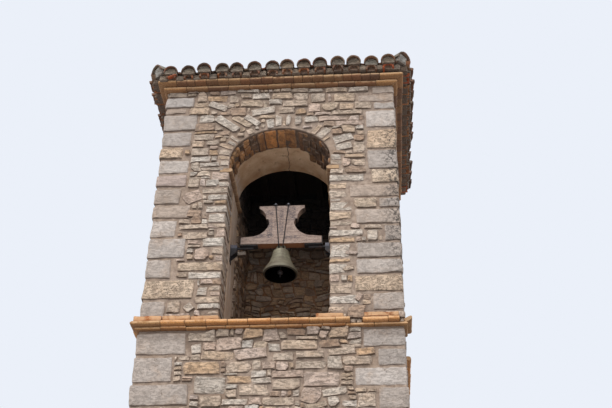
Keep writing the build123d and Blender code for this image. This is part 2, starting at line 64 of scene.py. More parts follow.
forward = Vector((-sin(look_left) * cos(look_up), cos(look_left) * cos(look_up), sin(look_up)))
level_right = Vector((cos(look_left), sin(look_left), 0))
level_up = level_right.cross(forward)
camera_right = cos(roll) * level_right + sin(roll) * level_up
camera_up = cos(roll) * level_up - sin(roll) * level_right
lens = bpy.data.cameras.new("camera")
lens.sensor_width = 36
lens.lens = focal_pixels / photo_width_pixels * lens.sensor_width
camera = put("camera", lens)
turned = Matrix((camera_right, camera_up, -forward)).transposed().to_4x4()
camera.matrix_world = Matrix.Translation(eye) @ turned
bpy.context.scene.camera = camera


# Rubble: roughly squared limestone of mixed sizes, laid in uneven beds in wide pinkish lime mortar.
# Each stone is its own low pillow, set in the wall and standing a little out of it. The marked
# stones are laid where the photograph shows them, and the rest fill the wall between them.
def colour(red, green, blue):
    """A colour written as it looks on screen, for a shader."""
    linear = [((part / 255 + 0.055) / 1.055) ** 2.4 for part in (red, green, blue)]
    return (*linear, 1.0)


# What a texture coordinate gives: the way a ray goes, the way a point faces, or where it is.
RAY, FACING, PLACE = 0, 1, 3
ACROSS, UP = 0, 2  # two of its three axes


class Shade:
    """A socket of a material. Arithmetic on it adds Math nodes."""

    def __init__(self, tree, socket=None):
        self.tree = tree
        self.socket = socket

    def node(self, kind, settings=None, inputs=None, out=0):
        """Adds a node, with its settings first and then the values or links of its sockets."""
        made = self.tree.nodes.new("ShaderNode" + kind)
        for name, value in (settings or {}).items():
            setattr(made, name, value)
        for name, value in (inputs or {}).items():
            if isinstance(value, Shade):
                self.tree.links.new(value.socket, made.inputs[name])
            else:
                made.inputs[name].default_value = value
        return Shade(self.tree, made.outputs[out])

    def math(self, operation, first, second=0.0):
        return self.node("Math", {"operation": operation}, {0: first, 1: second})

    def __add__(self, other):
        return self.math("ADD", self, other)

    def __sub__(self, other):
        return self.math("SUBTRACT", self, other)

    def __mul__(self, other):
        return self.math("MULTIPLY", self, other)

    __radd__ = __add__
    __rmul__ = __mul__

    def __rsub__(self, other):
        return self.math("SUBTRACT", other, self)

    def fade(self, low, high):
        """Goes smoothly from 0 at low to 1 at high."""
        inputs = {"Value": self, "From Min": low, "From Max": high}
        return self.node("MapRange", {"interpolation_type": "SMOOTHSTEP"}, inputs)

    def mix(self, first, second):
        """Goes from the first colour to the second by this mask."""
        return self.node("Mix", {"data_type": "RGBA"}, {0: self, 6: first, 7: second}, out=2)

    def tinted(self, tint):
        """This colour, multiplied by a tint."""
        settings = {"data_type": "RGBA", "blend_type": "MULTIPLY"}
        return self.node("Mix", settings, {0: 1.0, 6: tint, 7: self}, out=2)

    def noise(self, scale, detail=4.0, rough=0.6, stretch=(1, 1, 1)):
        """A cloudy pattern in metres, with this many features to the metre."""
        place = self.node("TexCoord", out=PLACE)
        if stretch != (1, 1, 1):
            place = self.node("Mapping", {}, {"Vector": place, "Scale": stretch})
        inputs = {"Vector": place, "Scale": scale, "Detail": detail, "Roughness": rough}
        return self.node("TexNoise", {}, inputs)

    def cells(self, scale):
        """The distance to the middle of the nearest of many small cells."""
        place = self.node("TexCoord", out=PLACE)
        return self.node("TexVoronoi", {}, {"Vector": place, "Scale": scale})

    def axes(self, coordinate):
        """What a texture coordinate gives across, into the depth and up."""
        split = self.tree.nodes.new("ShaderNodeSeparateXYZ")
        self.tree.links.new(self.node("TexCoord", out=coordinate).socket, split.inputs[0])
        return [Shade(self.tree, socket) for socket in split.outputs]

    def bump(self, height, distance, strength=1.0):
        return self.node("Bump", {}, {"Height": height, "Distance": distance, "Strength": strength})

    def tint(self):
        """The tint of a stone, brick or tile."""
        return self.node("Attribute", {"attribute_name": "tint"})

    def rim(self):
        """1 at the edges of a stone, brick or tile, and 0 on its face."""
        return self.node("Attribute", {"attribute_name": "rim"}, out=2)


def coats(base, *layers):
    """Lays tints over a base colour, each through its mask."""
    for mask, *tint in layers:
        base = mask.mix(base, colour(*tint))
    return base


def new_material(name):
    """A material with one plain surface shader, and the handle that its nodes are added with."""
    material = bpy.data.materials.new(name)
    material.use_nodes = True
    return material, Shade(material.node_tree)


def surface(material, base, roughness, normal=None, metallic=0.0):
    """Sets what the surface shader of a material gets."""
    tree = material.node_tree
    shader = tree.nodes["Principled BSDF"]
    inputs = {"Base Color": base, "Roughness": roughness, "Normal": normal, "Metallic": metallic}
    for name, value in inputs.items():
        if isinstance(value, Shade):
            tree.links.new(value.socket, shader.inputs[name])
        elif value is not None:
            shader.inputs[name].default_value = value
    return material


def give(material, *nodes):
    """Gives nodes of the frame this material instead of their plain one."""
    for name in nodes:
        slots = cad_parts[name].data.materials
        slots.clear()
        slots.append(material)


class Heap:
    """Gathers small shapes into one mesh. Each point has a tint and a rim, 1 at the edges of its shape."""

    def __init__(self):
        self.points = []
        self.faces = []
        self.tints = []
        self.rims = []

    def add(self, points, faces, tint, rims):
        start = len(self.points)
        self.points.extend(points)
        self.faces.extend([tuple(start + i for i in face) for face in faces])
        self.tints.extend([tint] * len(points))
        self.rims.extend(rims)

    def build(self, name, material, body="tower"):
        mesh = bpy.data.meshes.new(name)
        mesh.from_pydata([tuple(point) for point in self.points], [], self.faces)
        tint = mesh.attributes.new("tint", "FLOAT_COLOR", "POINT")
        tint.data.foreach_set("color", np.array(self.tints, np.float32).ravel())
        rim = mesh.attributes.new("rim", "FLOAT", "POINT")
        rim.data.foreach_set("value", np.array(self.rims, np.float32))
        mesh.polygons.foreach_set("use_smooth", [True] * len(mesh.polygons))
        mesh.set_sharp_from_angle(angle=radians(38))
        mesh.materials.append(material)
        piece = put(name, mesh)
        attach(piece, body)
        return piece


class Face:
    """A flat wall face: across runs to the right as one stands before it, and out stands away from it."""

    def __init__(self, origin, across, out):
        self.origin = np.array(origin, float)
        self.across = np.array(across, float)
        self.out = np.array(out, float)

    def place(self, run, level, depth):
        return self.origin + run * self.across + depth * self.out + np.array((0, 0, level))


STONE_TINTS = {
    "pale": colour(240, 226, 209),
    "grey": colour(225, 209, 191),
    "beige": colour(230, 208, 185),
    "pink": colour(234, 209, 190),
    "yellow": colour(236, 209, 180),
    "ochre": colour(232, 196, 158),
    "brown": colour(202, 173, 148),
}
RUBBLE_MIX = ["beige"] * 8 + ["pink"] * 6 + ["pale"] * 4 + ["grey"] * 2
RUBBLE_MIX += ["yellow"] * 3 + ["ochre"] + ["brown"] * 3


def vary(rng, tint, amount=0.07):
    """A little lighter or darker, and a little warmer or cooler."""
    light = 1 + rng.normal(0, amount)
    warm = rng.normal(0, amount * 0.35)
    return (tint[0] * light * (1 + warm), tint[1] * light, tint[2] * light * (1 - warm), 1.0)


def draw(rng, tints, amount=0.1):
    """One of the tints, a little changed."""
    return vary(rng, colour(*tints[rng.integers(len(tints))]), amount)


def stone_outline(rng, run, level, width, height, turn=0.0, count=16):
    """The outline of a roughly squared stone: corners out of true and knocked off, sides uneven."""
    corners = np.array(((-0.5, -0.5), (0.5, -0.5), (0.5, 0.5), (-0.5, 0.5))) * (width, height)
    corners -= np.sign(corners) * rng.uniform(-0.05, 0.07, (4, 2)) * (min(width, height * 1.5), height)
    knocked = rng.choice([0.04, 0.08, 0.14, 0.32], 4, p=[0.35, 0.3, 0.2, 0.15]) * height
    points = []
    for k in range(4):
        start, end = corners[k], corners[(k + 1) % 4]
        length = np.linalg.norm(end - start)
        first = min(0.35, knocked[k] / length)
        last = 1 - min(0.35, knocked[(k + 1) % 4] / length)
        bow = rng.normal(0, 0.02)
        for share in np.linspace(first, last, count // 4):
            middle = 4 * (share - 0.5) ** 2
            points.append((start + (end - start) * share) * (1 + bow * (1 - middle)))
    points = np.array(points) * (1 + rng.normal(0, 0.022, (len(points), 1)))
    turned = np.column_stack((points @ (cos(turn), -sin(turn)), points @ (sin(turn), cos(turn))))
    return turned + np.array((run, level))


ARRIS = 0.006  # how far a stone's edge is worn back
SHOULDER = 0.028  # how far in its face is flat


def lay_stone(heap, rng, face, outline, relief, tint, sunk=0.03, fine=True):
    """A stone on the outline: sides out of the mortar, a worn arris and an uneven face, a little tilted."""
    centre = outline.mean(0)
    reach = np.abs(outline - centre).max(0)
    small = float(reach.min())
    rings = [(1.0, -sunk, 1.0), (1.0, relief * 0.55, 1.0)]
    rings.append((1 - min(0.25, ARRIS / small), relief * 0.95, 0.6))
    if fine:
        rings.append((1 - min(0.5, SHOULDER / small), relief, 0.0))
        rings.append((0.35, relief, 0.0))
    else:
        rings.append((0.5, relief, 0.0))
    tilt = rng.normal(0, 0.045, 2)
    seed = rng.uniform(0, 50)
    rough_out = 0.0022 + 0.018 * min(small, 0.08)
    points = []
    rims = []
    for scale, depth, rim in rings:
        for u, v in centre + (outline - centre) * scale:
            lift = 0.0
            if depth > 0:
                rough = noise.noise(Vector((u * 11, v * 16, seed)))
                rough += 0.6 * noise.noise(Vector((u * 29, v * 40, seed)))
                lift = rough * rough_out * 1.8 + tilt[0] * (u - centre[0]) + tilt[1] * (v - centre[1])
            points.append(face.place(u, v, depth + lift))
            rims.append(rim)
    lift = noise.noise(Vector((centre[0] * 11, centre[1] * 16, seed))) * rough_out * 1.8
    points.append(face.place(centre[0], centre[1], relief + lift))
    rims.append(0.0)
    count = len(outline)
    faces = []
    for ring in range(len(rings) - 1):
        for i in range(count):
            j = (i + 1) % count
            low = ring * count
            faces.append((low + i, low + j, low + count + j, low + count + i))
    last = (len(rings) - 1) * count
    faces.extend([(last + i, last + (i + 1) % count, len(points) - 1) for i in range(count)])
    heap.add(points, faces, tint, rims)


def near(first, second, gap):
    """Whether boxes come nearer to one another than the gap."""
    apart = (first[..., 0] >= second[..., 2] + gap) | (first[..., 2] <= second[..., 0] - gap)
    apart |= (first[..., 1] >= second[..., 3] + gap) | (first[..., 3] <= second[..., 1] - gap)
    return ~apart


GROW_STEPS = 30
GROW_ACROSS = 0.006
GROW_UP = 0.004


def grow(boxes, fixed, goals, edges, joint):
    """Widens the boxes from the first free one on, side by side, up to their goals or to a neighbour."""
    boxes = boxes.copy()
    reach = np.column_stack((goals[:, 0], goals[:, 1], goals[:, 0], goals[:, 1])) * (-1, -1, 1, 1)
    swept = boxes[fixed:] + reach
    first, second = np.nonzero(near(swept[:, None], np.concatenate((boxes[:fixed], swept))[None], joint))
    other = first + fixed != second
    first, second = first[other], second[other]
    fresh = np.arange(fixed, len(boxes))
    for _ in range(GROW_STEPS):
        for side, step in ((0, -GROW_ACROSS), (2, GROW_ACROSS), (1, -GROW_UP), (3, GROW_UP)):
            trial = boxes[fixed:].copy()
            trial[:, side] += step
            axis = side % 2
            stop = trial[:, axis + 2] - trial[:, axis] > goals[:, axis]
            stop |= (trial[:, side] - edges[side]) * step > 0
            np.logical_or.at(stop, first, near(trial[first], boxes[second], joint))
            boxes[fresh[~stop]] = trial[~stop]
    return boxes


# Share of the full size, and how many seeds are thrown for the area of one stone.
SEEDINGS = ((1.0, 6.0), (0.6, 6.0), (0.36, 6.0), (0.2, 3.5))


def pack_rubble(rng, left, right, low, high, taken, width=0.24, beds=(0.085, 0.16), joint=0.007):
    """Boxes for stones: seeds are thrown into uneven beds and grow until they meet a neighbour."""
    levels = [low]
    while levels[-1] < high:
        levels.append(levels[-1] + rng.uniform(*beds))
    laid = np.array(taken, float).reshape(-1, 4)
    bare = len(laid)
    area = (right - left) * (high - low)
    edges = np.array((left, low, right, high))
    for share, thrown in SEEDINGS:
        throws = int(thrown * area / (width * np.mean(beds) * share))
        boxes = np.concatenate((laid, np.zeros((throws, 4))))
        count = len(laid)
        goals = []
        for _ in range(throws):
            bed = rng.integers(len(levels) - 1)
            bottom, top = levels[bed], levels[bed + 1]
            if share < 1 or rng.random() < 0.3:
                middle = bottom + (top - bottom) * rng.uniform(0.4, 0.6)
                bottom, top = (bottom, middle) if rng.random() < 0.5 else (middle, top)
            run = rng.uniform(left, right)
            level = (bottom + top) / 2 + rng.normal(0, 0.012)
            size = width * share * rng.uniform(0.45, 1.6)
            tall = (top - bottom) * rng.uniform(0.75, 1.35) * (0.6 + 0.4 * share)
            seed = np.array((run - size * 0.2, level - tall * 0.2, run + size * 0.2, level + tall * 0.2))
            inside = seed[0] > left and seed[2] < right and seed[1] > low and seed[3] < high
            if inside and not near(seed, boxes[:count], joint * 1.8).any():
                boxes[count] = seed
                goals.append((size, tall))
                count += 1
        if goals:
            laid = grow(boxes[:count], len(laid), np.array(goals), edges, joint)
    stones = laid[bare:]
    room = np.column_stack((stones[:, 2] - stones[:, 0] + 0.06, stones[:, 3] - stones[:, 1] + 0.032))
    return grow(laid, bare, room, edges, joint)[bare:]


def settle(points, taken, seed):
    """Shifts the points of a wall's stones a little, together, but not beside what is laid already."""
    boxes = np.array(taken, float).reshape(-1, 4)
    free = np.ones(len(points))
    if len(boxes):
        u, v = points[:, :1], points[:, 1:]
        away = np.maximum.reduce((boxes[:, 0] - u, u - boxes[:, 2], boxes[:, 1] - v, v - boxes[:, 3]))
        free = np.clip(away.min(1) / 0.10, 0, 1)
    moves = []
    for u, v in points:
        place = Vector((u * 4.2, v * 6.0, seed))
        moves.append((noise.noise(place) * 0.075, noise.noise(place + Vector((0, 0, 30))) * 0.06))
    return points + np.array(moves) * free[:, None]


GROUND_GAP = 0.004  # the lowest stones end this far above the ground
SMALLEST_STONE = 0.014
FINE_STONE = 0.045


def lay_rubble(heap, rng, face, stones, taken=(), relief=(0.012, 0.034), fine=True, mix=RUBBLE_MIX, seed=1.0):
    """Lays a stone in each box. Small ones get fewer points."""
    for left, low, right, high in stones:
        width, height = right - left, high - low
        if min(width, height) < SMALLEST_STONE:
            continue
        detailed = fine and min(width, height) > FINE_STONE
        turn = rng.normal(0, 0.035)
        middle = ((left + right) / 2, (low + high) / 2)
        outline = stone_outline(rng, *middle, width, height, turn, 16 if detailed else 12)
        outline = settle(outline, taken, seed)
        outline[:, 1] = np.maximum(outline[:, 1], GROUND_GAP)
        tint = vary(rng, STONE_TINTS[mix[rng.integers(len(mix))]])
        lay_stone(heap, rng, face, outline, rng.uniform(*relief), tint, fine=detailed)


def window(value, middle, reach):
    """1 at the middle, and 0 from the reach on."""
    away = (value - middle) * (value - middle)
    return away.fade(reach * reach, reach * reach * 0.3)


def dress_stone(name, pore_share=0.0, pore_depth=0.6, roughness=1.0, chamber_shade=0.0, under_shade=0.8):
    """Limestone in its stones' own tints, with painted shade on faces that point down. Tufa has more and
    deeper pores, and in the chamber painted shade darkens the stone upwards.
    """
    material, shade = new_material(name)
    broad = shade.noise(8, 3)
    grain = shade.noise(75, 6, 0.72)
    beds = shade.noise(8, 5, 0.65, (1, 1, 6)) * roughness + shade.noise(34, 5, 0.7) * (1 - roughness)
    veins = shade.noise(20, 5, 0.8, (1, 1, 2.5))
    cracks = veins.fade(0.5, 0.44) * veins.fade(0.36, 0.42)
    pores = shade.cells(55).fade(0.34, 0.12) * shade.noise(9, 3).fade(0.62 - pore_share, 0.70 - pore_share)
    stain = shade.noise(4.5, 5, 0.7).fade(0.5, 0.72)
    lichen = shade.noise(26, 5, 0.78).fade(0.58, 0.68)
    dust = shade.rim() * shade.noise(25, 4).fade(0.3, 0.7)
    # Painted shade: faces that point down are darkened, as thin shadows under the stones.
    under = shade.axes(FACING)[UP].fade(-0.3, -0.8)
    light = (broad * 0.4 + grain * 0.5 + beds * 0.35).fade(0.3, 0.95)
    dark = 255 - 85 * roughness
    base = light.mix(colour(dark, dark - 10 * roughness, dark - 18 * roughness), colour(255, 255, 255))
    base = coats(
        base.tinted(shade.tint()),
        (stain * 0.26, 186, 148, 112),
        (lichen * 0.22, 112, 104, 98),
        (cracks * 0.45 * roughness * roughness, 92, 76, 64),
        (pores * 0.75, 74, 56, 42),
        (dust * 0.7, 176, 154, 136),
        (under * under_shade, 84, 66, 52),
    )
    across, depth, level = shade.axes(PLACE)
    # Painted shade: in the dim chamber the stone darkens upwards, near black below the ceiling.
    if chamber_shade:
        base = coats(base, ((level + broad * 0.3).fade(8.5, 9.5) * chamber_shade, 20, 14, 12))
    else:
        right_arris = across.fade(1.16, 1.36) * depth.fade(-1.0, -1.15)
        right_arris = right_arris * level.fade(7.1, 8.1) * level.fade(9.9, 9.2)
        black_lichen = shade.noise(26, 5, 0.8).fade(0.47, 0.56)
        # Painted shade: darker just under the overhang of the cornice and the string course.
        shade_below_courses = window(level, wall_top, 0.12) + window(level, string_low, 0.15)
        shade_below_courses = shade_below_courses * broad.fade(0.25, 0.6)
        base = coats(base, (right_arris * black_lichen * 0.85, 62, 56, 50), (shade_below_courses * 0.4, 104, 86, 72))
    height = grain * 0.45 + beds * 0.8 + broad * 0.5 - pores * pore_depth - cracks * 0.25
    return surface(material, base, 0.93, shade.bump(height, 0.014 * roughness + 0.002, 0.95))


wall_low, wall_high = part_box("shaft_front_wall")
half_width = wall_high.x
front_y = wall_low.y
back_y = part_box("shaft_back_wall")[1].y
half_depth = (back_y - front_y) / 2
wall_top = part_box("cornice_lower_sides")[0].z
string_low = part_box("string_lower_sides")[0].z
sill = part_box("belfry_floor")[1].z
jamb_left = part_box("belfry_front_left_pier")[1].x
jamb_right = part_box("belfry_front_right_pier")[0].x
opening_middle = (jamb_left + jamb_right) / 2
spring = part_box("arch_ring")[0].z
arch_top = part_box("arch_plaster")[1].z

stone_material = dress_stone("limestone")
dressed_material = dress_stone("dressed_limestone", 0.04, 0.7, 0.55)
tufa_material = dress_stone("porous_tufa", 0.22, 1.2, 0.9)
# The chamber's stone gets painted shade that darkens it upwards.
chamber_material = dress_stone("shaded_chamber_limestone", chamber_shade=0.97, under_shade=0.5)
soffit_material = dress_stone("arch_soffit_stone", under_shade=0.1)

mortar_material, shade = new_material("lime_mortar")
sand = shade.noise(160, 4, 0.7)
lumps = shade.noise(16, 5, 0.65)
damp = shade.noise(2.2, 4).fade(0.42, 0.7)
across, depth, level = shade.axes(PLACE)
# Painted shade: darker just under the overhang of the cornice and the string course.
shade_below_courses = window(level, wall_top, 0.12) + window(level, string_low, 0.24)
inside = depth.fade(-0.42, -0.34) * depth.fade(1.12, 1.05) * across.math("ABSOLUTE", across).fade(1.25, 1.15)
# Painted shade: the chamber's mortar goes near black upwards, below the ceiling.
chamber_top_shade = inside * level.fade(8.4, 9.3) * level.fade(10.1, 10.0)
# Painted shade: the mortar of the reveal, under the arch, is tinted dark brown.
reveal = depth.fade(-1.195, -1.17) * depth.fade(-0.33, -0.36) * level.fade(spring, spring + 0.1)
base = coats(
    (lumps * 0.7 + sand * 0.3).fade(0.3, 0.75).mix(colour(122, 104, 90), colour(184, 162, 143)),
    (damp * 0.35, 146, 120, 96),
    (shade_below_courses * 0.6, 104, 86, 72),
    (inside * 0.85, 152, 110, 74),
    (chamber_top_shade, 16, 11, 10),
    (reveal * 0.75, 74, 52, 36),
)
surface(mortar_material, base, 0.95, shade.bump(lumps * 0.8 + sand * 0.15, 0.02, 0.9))
give(mortar_material, "shaft_front_wall", "shaft_back_wall", "shaft_left_wall", "shaft_right_wall")
give(mortar_material, "belfry_front_left_pier", "belfry_front_right_pier", "belfry_arch_wall", "arch_ring")
give(mortar_material, "belfry_left_wall", "belfry_right_wall", "belfry_back_wall", "belfry_floor")

FACES = {
    "front": Face((0, front_y, 0), (1, 0, 0), (0, -1, 0)),
    "right": Face((half_width, 0, 0), (0, 1, 0), (1, 0, 0)),
    "back": Face((0, back_y, 0), (-1, 0, 0), (0, 1, 0)),
    "left": Face((-half_width, 0, 0), (0, -1, 0), (-1, 0, 0)),
}
FACE_HALF = {"front": half_width, "back": half_width, "left": half_depth, "right": half_depth}

# Corner stones: large dressed blocks of paler grey limestone, two or three to the metre, that turn
# the corners with their long side on one face and then on the other. A few are porous yellow tufa.
# Each entry is the level of the block's top, its length on the front face and its tint.
FRONT_LEFT_BLOCKS = [
    (10.085, 0.35, "pale"), (9.905, 0.26, "beige"), (9.805, 0.42, "grey"), (9.53, 0.36, "grey"),
    (9.285, 0.28, "yellow"), (9.095, 0.36, "pale"), (8.875, 0.36, "pink"), (8.67, 0.30, "grey"),
    (8.42, 0.43, "beige"), (8.22, 0.29, "pale"), (7.965, 0.42, "pale"), (7.68, 0.28, "grey"),
    (7.42, 0.56, "yellow"), (7.15, 0.26, "grey"), (6.76, 0.53, "grey"), (6.475, 0.41, "grey"),
    (6.17, 0.60, "grey"), (5.90, 0.30, "pale"), (5.64, 0.50, "beige"), (5.40, 0.33, "grey"),
]
FRONT_RIGHT_BLOCKS = [
    (10.16, 0.27, "beige"), (10.035, 0.44, "beige"), (9.90, 0.25, "pale"), (9.78, 0.36, "pale"),
    (9.48, 0.35, "yellow"), (9.15, 0.35, "grey"), (8.86, 0.31, "yellow"), (8.655, 0.56, "beige"),
    (8.45, 0.23, "grey"), (8.30, 0.50, "beige"), (8.075, 0.18, "grey"), (7.84, 0.50, "grey"),
    (7.625, 0.50, "pale"), (7.42, 0.52, "yellow"), (7.195, 0.33, "grey"), (6.965, 0.20, "beige"),
    (6.765, 0.44, "grey"), (6.53, 0.29, "grey"), (6.315, 0.53, "pale"), (6.09, 0.30, "grey"),
    (5.84, 0.46, "grey"), (5.60, 0.34, "beige"), (5.36, 0.50, "grey"),
]
BLOCK_MIX = ["grey"] * 5 + ["pale"] * 3 + ["beige"] * 3 + ["yellow"] * 2
BLOCK_JOINT = 0.014
SHORT_BLOCK = 0.37  # a block shorter than this on the front is long on the side
LOWEST_BLOCK = 0.25
GREYED = (0.70, 0.70, 0.735)  # how the limestone of the corners is darker and cooler than the rubble
UPRIGHT = np.eye(3)


def lay_block(heap, rng, centre, axes, size, edge, rough, tint, cell=0.075, skew=0.0):
    """A worn block: a box with eased edges, lumpy faces and chipped arrises, its axes and size as given."""
    half = np.array(size) / 2
    ease = np.minimum(edge, half * 0.45)
    lean = rng.normal(0, skew, 2)
    taper = rng.normal(0, skew, 2)
    ticks = []
    for end, reach in zip(half, half - ease):
        inner = np.linspace(-reach, reach, max(2, int(ceil(2 * reach / cell)) + 1))
        ticks.append(np.concatenate(([-end], inner, [end])))
    counts = [len(tick) for tick in ticks]
    index = {}
    points = []
    rims = []
    seed = Vector(rng.uniform(0, 40, 3))
    for i in range(counts[0]):
        for j in range(counts[1]):
            for k in range(counts[2]):
                ends = (i in (0, counts[0] - 1)) + (j in (0, counts[1] - 1)) + (k in (0, counts[2] - 1))
                if not ends:
                    continue
                spot = np.array((ticks[0][i], ticks[1][j], ticks[2][k]))
                core = np.clip(spot, -half + ease, half - ease)
                away = spot - core
                length = np.linalg.norm(away)
                spot = core + away / length * ease.min()
                place = Vector(spot)
                bump = noise.noise(place * 9 + seed) + 0.5 * noise.noise(place * 24 + seed)
                chip = max(0.0, noise.noise(place * 14 - seed)) if ends > 1 else 0.0
                spot = spot + away / length * (bump * rough - chip * rough * 1.6)
                spot[2] *= 1 - abs(lean[0]) - lean[0] * spot[0] / half[0]
                spot[2] *= 1 - abs(lean[1]) - lean[1] * spot[1] / half[1]
                spot[0] += taper[0] * spot[2] * 1.5
                spot[1] += taper[1] * spot[2] * 0.5
                index[i, j, k] = len(points)
                points.append(np.array(centre) + spot @ axes)
                rims.append(1.0 if ends > 1 else 0.0)
    faces = []
    for axis in range(3):
        others = [a for a in range(3) if a != axis]
        for end in (0, counts[axis] - 1):
            for a in range(counts[others[0]] - 1):
                for b in range(counts[others[1]] - 1):
                    corners = []
                    for da, db in ((0, 0), (1, 0), (1, 1), (0, 1)):
                        key = [0, 0, 0]
                        key[axis] = end
                        key[others[0]] = a + da
                        key[others[1]] = b + db
                        corners.append(index[tuple(key)])
                    if (end == 0) != (axis == 1):
                        corners.reverse()
                    faces.append(corners)
    heap.add(points, faces, tint, rims)


def corner_blocks(rng, marked):
    """Levels, lengths on the front or back face and on the side, and tints, from the top to the ground."""
    blocks = []
    entries = list(marked)
    if not entries:
        entries = [(wall_top - 0.01, 0.42, "grey")]
    while entries[-1][0] > LOWEST_BLOCK:
        step = rng.uniform(0.19, 0.29)
        turns_long = entries[-1][1] < SHORT_BLOCK
        length = rng.uniform(0.42, 0.56) if turns_long else rng.uniform(0.26, 0.34)
        level = entries[-1][0] - step
        if string_low - 0.05 < level < sill + 0.1:
            level = string_low - 0.01
        entries.append((level, length, BLOCK_MIX[rng.integers(len(BLOCK_MIX))]))
    entries.append((0.0, 0, ""))
    for (top, length, name), (bottom, _, _) in zip(entries, entries[1:]):
        if bottom < sill < top:
            bottom = sill + 0.005
        side = rng.uniform(0.40, 0.52) if length < SHORT_BLOCK else rng.uniform(0.24, 0.32)
        if top - bottom > 0.04:
            blocks.append((bottom, top, length, side, name))
    return blocks


def toned(tint, red, green, blue):
    """The tint with each of its three parts multiplied."""
    return (tint[0] * red, tint[1] * green, tint[2] * blue, 1.0)


CORNERS = {
    "front_left": (-1, -1, FRONT_LEFT_BLOCKS),
    "front_right": (1, -1, FRONT_RIGHT_BLOCKS),
    "back_left": (-1, 1, []),
    "back_right": (1, 1, []),
}
taken = {name: [] for name in FACES}
for number, (name, (side_x, side_y, marked)) in enumerate(CORNERS.items()):
    rng = np.random.default_rng(100 + number)
    heap = Heap()
    tufa_heap = Heap()
    for bottom, top, length, side, tint_name in corner_blocks(rng, marked):
        proud = rng.uniform(0.008, 0.020)
        size = (length, side, top - bottom - BLOCK_JOINT)
        x = side_x * (half_width + proud - length / 2)
        y = side_y * (half_depth + proud - side / 2)
        middle = (x, y, (bottom + top) / 2)
        tint = vary(rng, STONE_TINTS[tint_name], 0.05)
        pile = tufa_heap
        if tint_name != "yellow":
            tint = toned(tint, *GREYED)
            pile = heap
        lay_block(pile, rng, middle, UPRIGHT, size, 0.018, 0.009, tint, cell=0.045, skew=0.028)
        for face_name, run, sense in (
            ("front" if side_y < 0 else "back", length, side_x if side_y < 0 else -side_x),
            ("right" if side_x > 0 else "left", side, side_y if side_x > 0 else -side_y),
        ):
            edge = FACE_HALF[face_name] * sense
            ends = sorted((edge, edge - sense * run))
            taken[face_name].append((ends[0], bottom, ends[1], top))
    heap.build(f"corner_stones_{name}", dressed_material)
    tufa_heap.build(f"corner_tufa_{name}", tufa_material)

# Jambs: flat rubble blocks that turn into the opening, uneven in height and length, with their ends
# showing. Each entry is the level of a block's underside, its length on the front and its tint.
JAMB_BLOCKS = {
    "left": [
        (6.96, 0.16, "beige"), (7.015, 0.20, "pale"), (7.10, 0.26, "beige"), (7.19, 0.11, "pink"),
        (7.25, 0.13, "beige"), (7.325, 0.10, "brown"), (7.41, 0.36, "pale"), (7.505, 0.50, "yellow"),
        (7.63, 0.08, "pink"), (7.72, 0.12, "beige"), (7.83, 0.24, "pale"), (7.96, 0.10, "pink"),
        (8.08, 0.16, "beige"), (8.15, 0.19, "pale"), (8.29, 0.24, "pale"), (8.41, 0.14, "ochre"),
        (8.47, 0.22, "pale"), (8.56, 0.30, "beige"), (8.66, 0.12, "pale"), (8.75, 0.20, "pink"),
    ],
    "right": [
        (6.945, 0.16, "beige"), (7.045, 0.33, "pale"), (7.17, 0.24, "beige"), (7.325, 0.10, "pink"),
        (7.435, 0.20, "pale"), (7.575, 0.23, "ochre"), (7.64, 0.22, "pale"), (7.825, 0.28, "ochre"),
        (7.92, 0.37, "pale"), (8.02, 0.09, "pink"), (8.065, 0.25, "beige"), (8.14, 0.24, "yellow"),
        (8.27, 0.25, "pale"), (8.41, 0.12, "grey"), (8.45, 0.20, "beige"), (8.57, 0.20, "yellow"),
        (8.69, 0.40, "pale"), (8.80, 0.16, "beige"),
    ],
}
REVEAL_DEPTH = 0.37  # from the wall's face to the plaster of the reveal
for side, blocks in JAMB_BLOCKS.items():
    jamb, sense = (jamb_left, -1) if side == "left" else (jamb_right, 1)
    rng = np.random.default_rng(200 if side == "left" else 201)
    heap = Heap()
    levels = [sill + 0.004] + [bottom for bottom, _, _ in blocks] + [spring - 0.05]
    lengths = [(0.18, "beige")] + [(length, tint_name) for _, length, tint_name in blocks]
    for bottom, top, (length, tint_name) in zip(levels, levels[1:], lengths):
        height = top - bottom
        if height < 0.02:
            continue
        depth = rng.uniform(0.18, 0.36)
        proud = rng.uniform(0.004, 0.020)
        size = (length, depth, height - 0.009)
        run = jamb + sense * (length / 2 - rng.uniform(0.0, 0.016))
        tint = vary(rng, STONE_TINTS[tint_name], 0.05)
        middle = (run, front_y - proud + depth / 2, bottom + height / 2)
        lay_block(heap, rng, middle, UPRIGHT, size, 0.012, 0.010, tint, cell=0.045, skew=0.06)
        ends = sorted((jamb, jamb + sense * length))
        taken["front"].append((ends[0], bottom, ends[1], top))
        if depth < 0.30:
            rest = REVEAL_DEPTH - depth
            spot = (jamb + sense * 0.05, front_y + depth + rest / 2 + 0.012, bottom + height / 2)
            size = (0.11, rest, height - 0.012)
            lay_block(heap, rng, spot, UPRIGHT, size, 0.012, 0.010, tint, cell=0.05, skew=0.05)
    heap.build(f"jamb_stones_{side}", stone_material)

